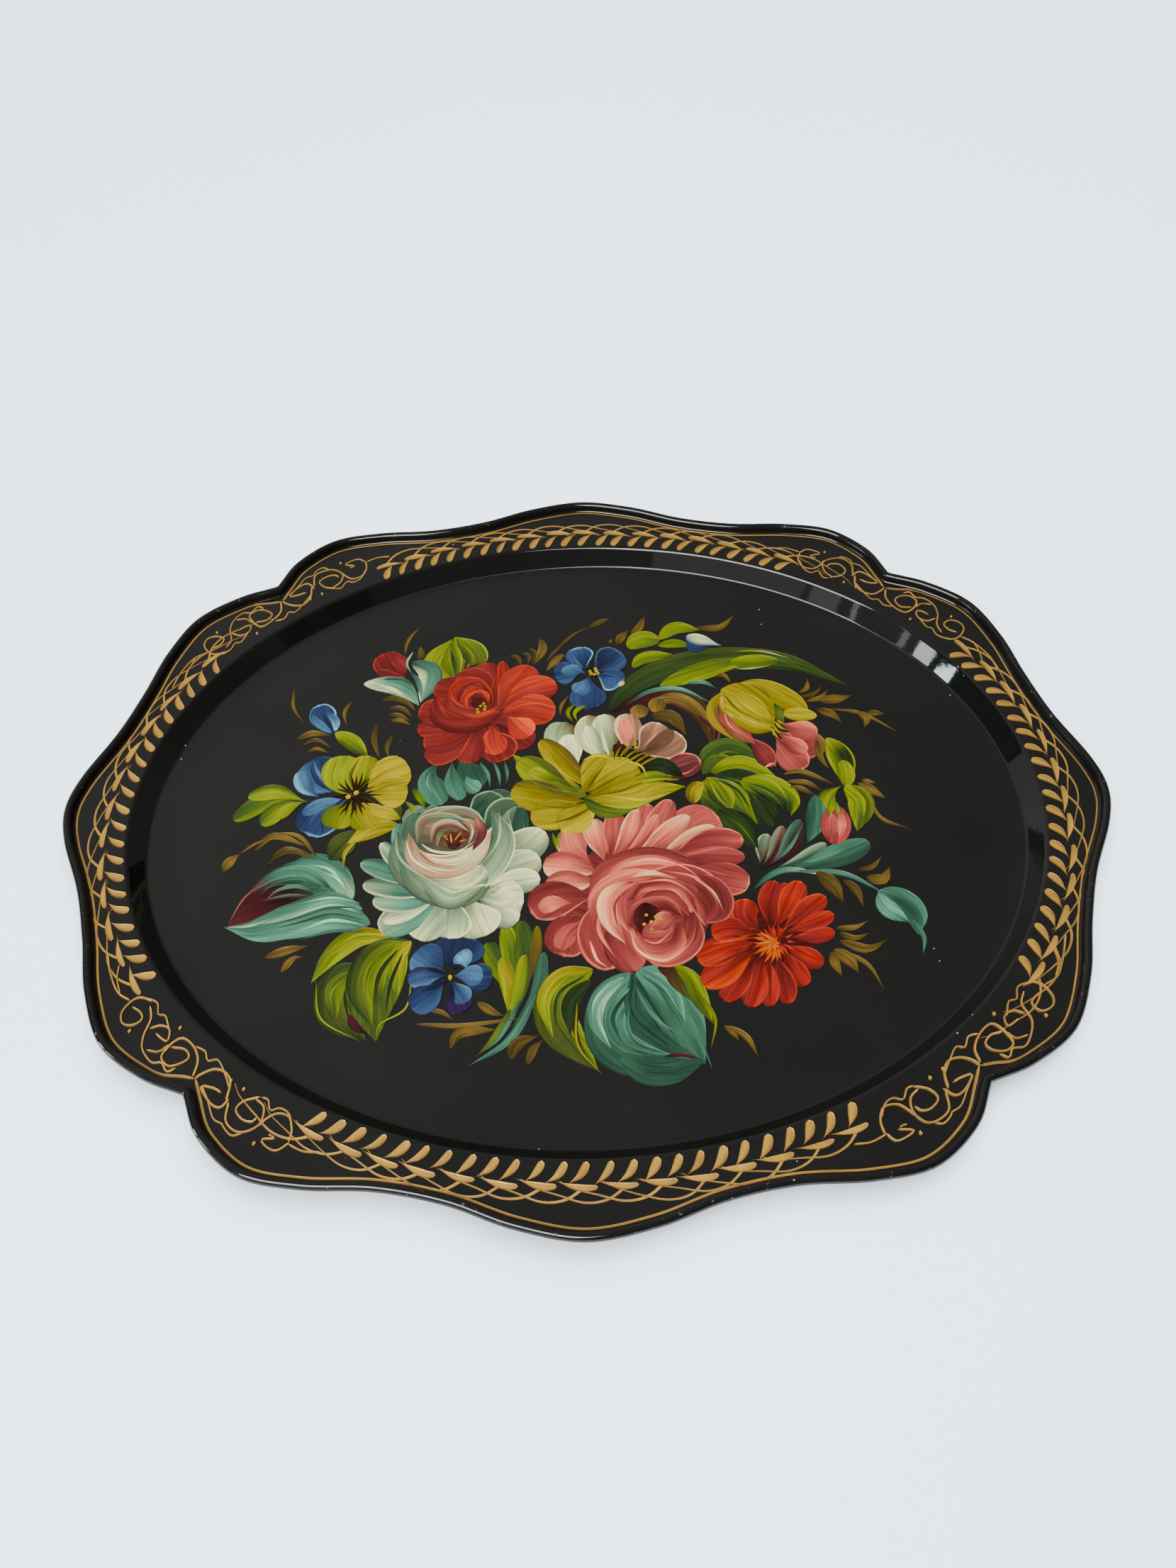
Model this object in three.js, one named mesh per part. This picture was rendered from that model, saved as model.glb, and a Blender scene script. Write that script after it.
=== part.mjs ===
// Scalloped oval painted tray of sheet steel with a wired, rolled edge.
//
// Units are millimetres, +Z is up and z = 0 is the plane the tray stands on.
// X runs along the long side, Y along the short side, and the outline is the
// same in all four quadrants.
//
// The tray is two pieces: one stamped sheet (floor, wall, flat flange and the
// curl of its edge) and one loop of wire closed inside that curl.

import * as THREE from "three";

// ---- driving dimensions -------------------------------------------------

const HALF_LENGTH = 230;
const HALF_WIDTH = 188.5;
const SHEET = 0.7;
const WELL_DEPTH = 8.8;

// Semi-axes of the oval where the flange meets the wall, and of the oval where
// the wall meets the floor.
const FLANGE_OVAL = { a: 201, b: 158.5 };
const FLOOR_OVAL = { a: 195, b: 152.4 };
const WALL_FILLET = 2.2;

// The rolled edge: the wire, the clearance around it and the curl of sheet.
const WIRE_RADIUS = 0.9;
const WIRE_CLEARANCE = 0.3;
const CURL_INNER = WIRE_RADIUS + WIRE_CLEARANCE;
const CURL_OUTER = CURL_INNER + SHEET;
const CURL_END_ANGLE = 290;
const RIM_LIFT = 2.75;
const RIM_FILLET = 1.8;
const WIRE_BUTT_GAP = 1.5;

// The four notches are rounded with this radius on the outside of the curl.
const NOTCH_RADIUS = 1.2;

// Number of stations along each quadrant's short-side arc and long-side arc,
// and along the turn of each notch.
const SHORT_ARC_STATIONS = 18;
const LONG_ARC_STATIONS = 19;
const NOTCH_STATIONS = 4;

// ---- heights that follow ------------------------------------------------

const FLOOR_TOP = SHEET;
const FLANGE_TOP = FLOOR_TOP + WELL_DEPTH;
const FLANGE_MID = FLANGE_TOP - SHEET / 2;
const CURL_HEIGHT = FLANGE_MID + RIM_LIFT;

// ---- outline ------------------------------------------------------------

// One quadrant of the guide line, which runs NOTCH_RADIUS outside the tray's
// edge.  Its corner is the centre of the rounding of the notch.
const NOTCH_CORNER = [154.4, 133.3];
const SHORT_SIDE = [
  [HALF_LENGTH + NOTCH_RADIUS, 0],
  [227.5, 17.4],
  [216.2, 42.2],
  [208.7, 65.4],
  [202.3, 89.6],
  [191.3, 112.1],
  [172.4, 126.2],
  NOTCH_CORNER,
];
const LONG_SIDE = [
  NOTCH_CORNER,
  [146.2, 149.9],
  [128.4, 164.9],
  [104.8, 169.9],
  [77.2, 171.1],
  [51.4, 176.2],
  [26.4, 185.0],
  [0, HALF_WIDTH + NOTCH_RADIUS],
];

function mirrored(point, axis) {
  return axis === "x" ? [point[0], -point[1]] : [-point[0], point[1]];
}

// The whole short side (notch to notch, upwards) or long side (right to left).
function wholeSide(half, axis) {
  const forward = half.slice();
  const back = half.slice().reverse();
  if (axis === "x") {
    return back.map((p) => mirrored(p, "x")).concat(forward.slice(1));
  }
  return forward.concat(back.slice(1).map((p) => mirrored(p, "y")));
}

// A smooth curve through the points, split evenly into the given number of
// steps, with the inward normal at each.
function stationsAlong(points, steps) {
  const curve = new THREE.CatmullRomCurve3(
    points.map((p) => new THREE.Vector3(p[0], p[1], 0)),
    false,
    "catmullrom",
    0.5,
  );
  curve.arcLengthDivisions = 2000;
  const stations = [];
  for (let i = 0; i <= steps; i += 1) {
    const at = curve.getPointAt(i / steps);
    const along = curve.getTangentAt(i / steps);
    stations.push({ x: at.x, y: at.y, nx: -along.y, ny: along.x });
  }
  return stations;
}

// The stations that turn the normal about a notch corner.
function notchStations(before, after) {
  const start = Math.atan2(before.ny, before.nx);
  let turn = Math.atan2(after.ny, after.nx) - start;
  if (turn > Math.PI) turn -= 2 * Math.PI;
  if (turn < -Math.PI) turn += 2 * Math.PI;
  const stations = [];
  for (let i = 1; i < NOTCH_STATIONS; i += 1) {
    const angle = start + (turn * i) / NOTCH_STATIONS;
    stations.push({
      x: before.x,
      y: before.y,
      nx: Math.cos(angle),
      ny: Math.sin(angle),
    });
  }
  return stations;
}

// All stations, counter-clockwise from the middle of the right-hand side's
// lower notch.
function outlineStations() {
  const right = stationsAlong(wholeSide(SHORT_SIDE, "x"), 2 * SHORT_ARC_STATIONS);
  const top = stationsAlong(wholeSide(LONG_SIDE, "y"), 2 * LONG_ARC_STATIONS);
  const turned = (s) => ({ x: -s.x, y: -s.y, nx: -s.nx, ny: -s.ny });
  const sides = [right, top, right.map(turned), top.map(turned)];
  const stations = [];
  sides.forEach((side, i) => {
    const next = sides[(i + 1) % sides.length];
    stations.push(...side);
    stations.push(...notchStations(side[side.length - 1], next[0]));
  });
  return stations;
}

const STATIONS = outlineStations();

// A point of the tray at a station, "inset" millimetres inside the tray's edge.
function rimPoint(station, inset, z) {
  const reach = NOTCH_RADIUS + inset;
  return [station.x + station.nx * reach, station.y + station.ny * reach, z];
}

// The station's direction on the ovals of the well.
function ovalAngle(station) {
  const foot = rimPoint(station, 3 * CURL_OUTER, 0);
  return Math.atan2(foot[1] / FLANGE_OVAL.b, foot[0] / FLANGE_OVAL.a);
}

function ovalPoint(station, inset, z) {
  const angle = ovalAngle(station);
  const x = (FLANGE_OVAL.a - inset) * Math.cos(angle);
  const y = (FLANGE_OVAL.b - inset) * Math.sin(angle);
  return [x, y, z];
}

// ---- sections -----------------------------------------------------------

function arc(centre, radius, fromDegrees, toDegrees, steps) {
  const points = [];
  for (let i = 0; i <= steps; i += 1) {
    const degrees = fromDegrees + ((toDegrees - fromDegrees) * i) / steps;
    const angle = (degrees * Math.PI) / 180;
    points.push([
      centre[0] + radius * Math.cos(angle),
      centre[1] + radius * Math.sin(angle),
    ]);
  }
  return points;
}

// The curl, the rise from the flange to it, and the flat of the flange, as
// [inset, z] along one face of the sheet.  "shift" is half the sheet: positive
// on the face that is seen from above, negative on the hidden face.
function rimFace(shift) {
  const curl = [CURL_OUTER, CURL_HEIGHT];
  const middle = CURL_OUTER - SHEET / 2;
  const drop = RIM_LIFT - RIM_FILLET;
  const run = Math.sqrt((RIM_FILLET + middle) ** 2 - drop ** 2);
  const fillet = [curl[0] + run, FLANGE_MID + RIM_FILLET];
  const lean = (Math.atan2(-drop, run) * 180) / Math.PI;
  const rise = arc(fillet, RIM_FILLET - shift, 270, 180 + lean, 3);
  const inner = arc(curl, middle + shift, lean, 90, 3);
  const outer = arc(curl, middle + shift, 90, 180, 3);
  const under = arc(curl, middle + shift, 180, CURL_END_ANGLE, 3);
  return rise.concat(inner.slice(1), outer.slice(1), under.slice(1));
}

// The wall and its two fillets, as [inset, z] from the flange to the floor
// along one face of the sheet.
function wallFace(shift) {
  const run = FLANGE_OVAL.a - FLOOR_OVAL.a;
  const slope = (Math.atan2(WELL_DEPTH, run) * 180) / Math.PI;
  const setback = WALL_FILLET * Math.tan((slope * Math.PI) / 360);
  const upper = [-setback, FLANGE_MID - WALL_FILLET];
  const lower = [run + setback, FLOOR_TOP - SHEET / 2 + WALL_FILLET];
  const shoulder = arc(upper, WALL_FILLET + shift, 90, 90 - slope, 2);
  const foot = arc(lower, WALL_FILLET - shift, 270 - slope, 270, 2);
  return shoulder.concat(foot);
}

// ---- meshes -------------------------------------------------------------

function geometryOf(positions, indices) {
  const geometry = new THREE.BufferGeometry();
  geometry.setAttribute("position", new THREE.Float32BufferAttribute(positions, 3));
  geometry.setIndex(indices);
  geometry.computeVertexNormals();
  return geometry;
}

// Faces between two neighbouring closed rings of equal length.
function addBand(indices, ringA, ringB, count) {
  for (let i = 0; i < count; i += 1) {
    const j = (i + 1) % count;
    indices.push(ringA + i, ringB + i, ringB + j);
    indices.push(ringA + i, ringB + j, ringA + j);
  }
}

// The sheet: one ring of vertices per point of its section, from the middle of
// the floor's upper face out to the end of the curl and back underneath.
function traySheetGeometry() {
  const rings = [];
  const addRim = (points) => {
    points.forEach((p) => rings.push(STATIONS.map((s) => rimPoint(s, p[0], p[1]))));
  };
  const addWell = (points) => {
    points.forEach((p) => rings.push(STATIONS.map((s) => ovalPoint(s, p[0], p[1]))));
  };
  addWell(wallFace(SHEET / 2).reverse());
  addRim(rimFace(SHEET / 2));
  addRim(rimFace(-SHEET / 2).reverse());
  addWell(wallFace(-SHEET / 2));

  const count = STATIONS.length;
  const positions = rings.flat(2);
  const indices = [];
  for (let ring = 0; ring + 1 < rings.length; ring += 1) {
    addBand(indices, ring * count, (ring + 1) * count, count);
  }
  const top = positions.length / 3;
  positions.push(0, 0, FLOOR_TOP);
  positions.push(0, 0, FLOOR_TOP - SHEET);
  const lastRing = (rings.length - 1) * count;
  for (let i = 0; i < count; i += 1) {
    const j = (i + 1) % count;
    indices.push(top, i, j);
    indices.push(top + 1, lastRing + j, lastRing + i);
  }
  return geometryOf(positions, indices);
}

// The wire: one loop inside the curl, butted with a small gap in the middle of
// the side at +X.
function rimWireGeometry() {
  const half = SHORT_ARC_STATIONS;
  const turned = STATIONS.slice(half).concat(STATIONS.slice(0, half + 1));
  const line = turned.map((s) => rimPoint(s, CURL_OUTER, CURL_HEIGHT));
  const first = line[0].slice();
  const last = line[line.length - 1].slice();
  first[1] += WIRE_BUTT_GAP / 2;
  last[1] -= WIRE_BUTT_GAP / 2;
  line[0] = first;
  line[line.length - 1] = last;
  const section = arc([0, 0], WIRE_RADIUS, 0, 315, 7);
  const positions = [];
  line.forEach((point, i) => {
    const station = turned[i];
    section.forEach((p) => {
      positions.push(
        point[0] + station.nx * p[0],
        point[1] + station.ny * p[0],
        point[2] + p[1],
      );
    });
  });
  const sides = section.length;
  const indices = [];
  for (let i = 0; i + 1 < line.length; i += 1) {
    addBand(indices, (i + 1) * sides, i * sides, sides);
  }
  const end = (line.length - 1) * sides;
  for (let k = 1; k + 1 < sides; k += 1) {
    indices.push(0, k + 1, k);
    indices.push(end, end + k, end + k + 1);
  }
  return geometryOf(positions, indices);
}

// ---- materials ----------------------------------------------------------

function lacqueredSteel() {
  return new THREE.MeshStandardMaterial({
    name: "black_lacquer",
    color: 0x141413,
    metalness: 0.0,
    roughness: 0.25,
    flatShading: true,
  });
}

function bareWire() {
  return new THREE.MeshStandardMaterial({
    name: "steel_wire",
    color: 0x8b8b88,
    metalness: 1.0,
    roughness: 0.45,
    flatShading: true,
  });
}

// ---- assembly -----------------------------------------------------------

function part(name, geometry, material) {
  const mesh = new THREE.Mesh(geometry, material);
  mesh.name = name;
  return mesh;
}

const tray = new THREE.Group();
tray.name = "painted_tray";
tray.add(part("tray_sheet", traySheetGeometry(), lacqueredSteel()));
tray.add(part("rim_wire", rimWireGeometry(), bareWire()));

export default tray;
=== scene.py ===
"""Scalloped oval tray: black lacquered steel, gold ornament and a painted bouquet.

Lengths are millimetres, +X along the tray, +Y towards the top of the painting
and +Z up.  Meshes are scaled to metres when they are made.  The painting is
built from raised brush strokes, laid one over the other as a painter lays them.
"""

import math
import random

import bpy
import numpy as np
from mathutils import Matrix, Vector

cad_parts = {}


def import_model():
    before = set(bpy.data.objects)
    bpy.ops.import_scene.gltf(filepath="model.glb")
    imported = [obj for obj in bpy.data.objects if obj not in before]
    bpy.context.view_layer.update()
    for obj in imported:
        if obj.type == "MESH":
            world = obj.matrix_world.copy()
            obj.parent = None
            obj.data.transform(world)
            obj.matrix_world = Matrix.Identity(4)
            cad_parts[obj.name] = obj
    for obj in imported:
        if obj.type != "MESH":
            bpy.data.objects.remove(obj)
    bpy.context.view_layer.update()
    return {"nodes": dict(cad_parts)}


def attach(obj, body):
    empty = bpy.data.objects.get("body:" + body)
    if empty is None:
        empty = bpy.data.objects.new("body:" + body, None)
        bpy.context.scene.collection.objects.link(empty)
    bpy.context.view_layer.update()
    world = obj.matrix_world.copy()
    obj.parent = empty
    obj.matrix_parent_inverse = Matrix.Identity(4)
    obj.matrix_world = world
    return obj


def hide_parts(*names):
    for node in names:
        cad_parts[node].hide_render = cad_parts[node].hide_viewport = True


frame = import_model()

MM = 0.001

# ---- tray dimensions, as in the CAD ----------------------------------------

SHEET = 0.7
WELL_DEPTH = 8.8
FLOOR_TOP = SHEET
FLANGE_TOP = FLOOR_TOP + WELL_DEPTH
FLANGE_MID = FLANGE_TOP - SHEET / 2
FLANGE_OVAL = (201, 158.5)
FLOOR_OVAL = (195, 152.4)
WALL_FILLET = 2.2
CURL_INNER = 1.2
CURL_OUTER = CURL_INNER + SHEET
CURL_END_ANGLE = 290
RIM_LIFT = 2.75
RIM_FILLET = 1.8
CURL_HEIGHT = FLANGE_MID + RIM_LIFT
NOTCH_RADIUS = 1.2

NOTCH_CORNER = (154.4, 133.3)
SHORT_SIDE = [
    (231.2, 0), (227.5, 17.4), (216.2, 42.2), (208.7, 65.4),
    (202.3, 89.6), (191.3, 112.1), (172.4, 126.2), NOTCH_CORNER,
]
LONG_SIDE = [
    NOTCH_CORNER, (146.2, 149.9), (128.4, 164.9), (104.8, 169.9),
    (77.2, 171.1), (51.4, 176.2), (26.4, 185.0), (0, 189.7),
]


# ---- curves ----------------------------------------------------------------

def catmull_rom(points, steps):
    """Points at even arc length on a smooth curve through points, and its tangents."""
    p = np.array(points, float)
    p = np.vstack([2 * p[0] - p[1], p, 2 * p[-1] - p[-2]])
    spans = len(points) - 1
    u = np.linspace(0, spans, 50 * spans + 1)
    i = np.minimum(u.astype(int), spans - 1)
    w = (u - i)[:, None]
    a, b, c, d = p[i], p[i + 1], p[i + 2], p[i + 3]
    curve = 0.5 * (2 * b + (c - a) * w + (2 * a - 5 * b + 4 * c - d) * w**2
                   + (3 * b - a - 3 * c + d) * w**3)
    run = np.concatenate([[0], np.cumsum(np.hypot(*np.diff(curve, axis=0).T))])
    at = np.linspace(0, run[-1], steps + 1)
    even = np.stack([np.interp(at, run, curve[:, k]) for k in (0, 1)], 1)
    slope = np.gradient(curve, run, axis=0)
    along = np.stack([np.interp(at, run, slope[:, k]) for k in (0, 1)], 1)
    along /= np.linalg.norm(along, axis=1)[:, None]
    return even, along, run[-1]


def side_stations(half, mirror, steps):
    """Points of one whole side, counter-clockwise, with the inward normals."""
    back = [(x * mirror[0], y * mirror[1]) for x, y in half[::-1]]
    if mirror[1] < 0:
        points = back + half[1:]
    else:
        points = half + back[1:]
    at, along, _ = catmull_rom(points, steps)
    return np.hstack([at, -along[:, 1:], along[:, :1]])


def outline_stations(short_steps, long_steps, notch_steps):
    """All stations of the outline as rows of x, y and inward normal."""
    right = side_stations(SHORT_SIDE, (1, -1), short_steps)
    far = side_stations(LONG_SIDE, (-1, 1), long_steps)
    sides = [right, far, -right, -far]
    rows = []
    for side, after in zip(sides, sides[1:] + sides[:1]):
        rows.append(side)
        start = math.atan2(side[-1][3], side[-1][2])
        turn = math.atan2(after[0][3], after[0][2]) - start
        turn = (turn + math.pi) % (2 * math.pi) - math.pi
        for k in range(1, notch_steps):
            angle = start + turn * k / notch_steps
            corner = (side[-1][0], side[-1][1], math.cos(angle), math.sin(angle))
            rows.append(np.array([corner]))
    return np.vstack(rows)


def rim_ring(stations, inset, z):
    """A ring of points inset millimetres inside the tray's edge."""
    xy = stations[:, :2] + stations[:, 2:] * (NOTCH_RADIUS + inset)
    return np.column_stack([xy, np.full(len(xy), z)])


def well_ring(stations, inset, z):
    """The matching ring on an oval, inset millimetres inside the flange's oval."""
    foot = rim_ring(stations, 3 * CURL_OUTER, 0)
    angle = np.arctan2(foot[:, 1] / FLANGE_OVAL[1], foot[:, 0] / FLANGE_OVAL[0])
    x = (FLANGE_OVAL[0] - inset) * np.cos(angle)
    y = (FLANGE_OVAL[1] - inset) * np.sin(angle)
    return np.column_stack([x, y, np.full(len(x), z)])


def arc(centre, radius, start, end, steps):
    """Points of a circular arc between two angles in degrees."""
    angles = np.radians(np.linspace(start, end, steps + 1))
    return [(centre[0] + radius * math.cos(a), centre[1] + radius * math.sin(a)) for a in angles]


def rim_face(shift, curl_steps):
    """The rise from the flange and the curl, as (inset, z) on one face of the sheet."""
    middle = CURL_OUTER - SHEET / 2
    drop = RIM_LIFT - RIM_FILLET
    run = math.sqrt((RIM_FILLET + middle) ** 2 - drop**2)
    lean = math.degrees(math.atan2(-drop, run))
    rise = arc((CURL_OUTER + run, FLANGE_MID + RIM_FILLET), RIM_FILLET - shift, 270, 180 + lean, 6)
    roll = arc((CURL_OUTER, CURL_HEIGHT), middle + shift, lean, 90, curl_steps)
    roll += arc((CURL_OUTER, CURL_HEIGHT), middle + shift, 90, CURL_END_ANGLE, 2 * curl_steps)[1:]
    return rise + roll[1:]


def wall_face(shift):
    """The wall and its two fillets, as (inset, z) from the flange to the floor."""
    run = FLANGE_OVAL[0] - FLOOR_OVAL[0]
    slope = math.degrees(math.atan2(WELL_DEPTH, run))
    setback = WALL_FILLET * math.tan(math.radians(slope / 2))
    upper = (-setback, FLANGE_MID - WALL_FILLET)
    lower = (run + setback, FLOOR_TOP - SHEET / 2 + WALL_FILLET)
    shoulder = arc(upper, WALL_FILLET + shift, 90, 90 - slope, 5)
    foot = arc(lower, WALL_FILLET - shift, 270 - slope, 270, 5)
    return shoulder + foot


# ---- meshes ----------------------------------------------------------------

def new_object(name, vertices, faces, material):
    """A smooth mesh object from points in millimetres."""
    mesh = bpy.data.meshes.new(name)
    mesh.from_pydata((np.asarray(vertices) * MM).tolist(), [], faces)
    mesh.materials.append(material)
    mesh.polygons.foreach_set("use_smooth", [True] * len(mesh.polygons))
    obj = bpy.data.objects.new(name, mesh)
    bpy.context.scene.collection.objects.link(obj)
    return obj


# The rings between the foot of the wall and the middle of the floor, as shares
# of the foot's own size.
FLOOR_RINGS = (0.3, 0.6, 0.92)


def tray_shell(material):
    """The whole stamped sheet as one closed smooth surface, from the floor's
    middle over its upper face and the curled rim to the underside's middle."""
    stations = outline_stations(140, 140, 10)
    rings = [well_ring(stations, *p) for p in wall_face(SHEET / 2)[::-1]]
    rings += [rim_ring(stations, *p) for p in rim_face(SHEET / 2, 7)]
    rings += [rim_ring(stations, *p) for p in rim_face(-SHEET / 2, 5)[::-1]]
    rings += [well_ring(stations, *p) for p in wall_face(-SHEET / 2)]
    top = [rings[0] * (share, share, 1) for share in FLOOR_RINGS]
    under = [rings[-1] * (share, share, 1) for share in FLOOR_RINGS[::-1]]
    rings = top + rings + under
    count = len(stations)
    vertices = np.vstack(rings + [[(0, 0, FLOOR_TOP)], [(0, 0, 0)]])
    here = np.arange(count)
    beside = (here + 1) % count
    faces = []
    for ring in range(len(rings) - 1):
        a = ring * count
        b = a + count
        faces += np.column_stack([a + here, b + here, b + beside, a + beside]).tolist()
    last = (len(rings) - 1) * count
    centre = len(rings) * count
    faces += np.column_stack([np.full(count, centre), here, beside]).tolist()
    faces += np.column_stack([np.full(count, centre + 1), last + beside, last + here]).tolist()
    tray = new_object("lacquered_tray", vertices, faces, material)
    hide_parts("tray_sheet")
    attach(tray, "root")


# ---- brush strokes ---------------------------------------------------------

# Each shape is where the stroke is widest, and how full it is at its start and end.
SHAPES = {
    "petal": (0.66, 0.95, 0.42),
    "leaf": (0.45, 0.75, 1.0),
    "blade": (0.4, 0.9, 1.2),
    "oval": (0.5, 0.5, 0.5),
    "tear": (0.3, 0.5, 1.9),
    "cup": (0.5, 0.9, 0.9),
}
# The line keeps its width; the taper loses this share of it towards its end.
LINES = {"line": 0, "taper": 0.7}

# The edges of a stroke whose colour is the same from side to side.
PLAIN = "----"

# The mesh of a stroke: rows along it and columns across it, in millimetres.
ROW_LENGTH = 1.1
ROW_LIMITS = (8, 150)
COLUMNS_PER_MM = 1.2
COLUMN_LIMITS = (3, 16)
CROWDING = 0.45

# Each stroke lies a LAYER above the one before, rises by CROWN in its middle,
# and its skirt ends SKIRT below the surface.
LAYER = 0.008
CROWN = LAYER * 0.8
SKIRT = 0.02

# How broad a bright edge line is.
RIM_BAND = 1.1

# Paint colours by family letter, from the darkest to the lightest.  Most of these
# values were worked out by a program from the shades wanted in the render, so this
# table isn't made by hand.
COLOURS = {
    "a": ("400e0b", "661a19", "82211c", "a22718", "c23c00", "bc6a00"),
    "b": ("0e142f", "1d2442", "233457", "32486b", "446a88", "70b2c4"),
    "d": ("241107", "442c1e", "634433", "885f47", "b98562", "eec894"),
    "e": ("0b1904", "1e2c11", "2b4017", "3b5218", "4c6416", "607b0c"),
    "g": ("282c12", "3c4516", "4e5d15", "67770a", "808c00", "949500"),
    "k": ("030301", "10110e", "1a1a18", "232321", "2d2d2a", "353632"),
    "m": ("230306", "391014", "4f1e22", "683233", "834c46", "b37568"),
    "o": ("201700", "392e10", "4f4017", "695320", "87692b", "b8902e"),
    "p": ("4a1716", "692524", "843331", "ab4c44", "e6785f", "f6bd86"),
    "r": ("47100e", "631c1a", "7a2521", "9b2d20", "bc3921", "ef5527"),
    "t": ("10261b", "214030", "305441", "42705a", "589175", "90d0aa"),
    "v": ("090024", "2a1643", "482e61", "6c4778", "9f6fb8", "dcb8e0"),
    "w": ("3d503b", "4f654d", "6b8062", "97af82", "dce0a0", "f4efb4"),
    "y": ("4a4110", "605600", "796c00", "908200", "a49300", "b8a600"),
    "z": ("372610", "5c4620", "80602c", "a67e3c", "c8993e", "e6bb4e"),
}


def linear(code):
    """The linear colour of a two-character code such as r3."""
    text = COLOURS[code[0].lower()][int(code[1]) - 1]
    values = [int(text[k:k + 2], 16) / 255 for k in (0, 2, 4)]
    return np.array([v / 12.92 if v <= 0.04045 else ((v + 0.055) / 1.055) ** 2.4 for v in values])


def smooth(low, high, x):
    """0 below low, 1 above high, and an even ease between."""
    t = np.clip((x - low) / (high - low), 0, 1)
    return t * t * (3 - 2 * t)


def fullness(shape, u, length, width):
    """Half-width of a stroke along u, as a share of its greatest half-width."""
    if shape in LINES:
        end = np.minimum(u, 1 - u) * length / (0.6 * width)
        return np.sqrt(np.clip(end, 0.02, 1)) * (1 - LINES[shape] * u)
    peak, start, finish = SHAPES[shape]
    bow = np.sin(math.pi * u ** (math.log(0.5) / math.log(peak)))
    return np.maximum(np.clip(bow, 0, 1) ** (start + (finish - start) * u), 0.02)


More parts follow.
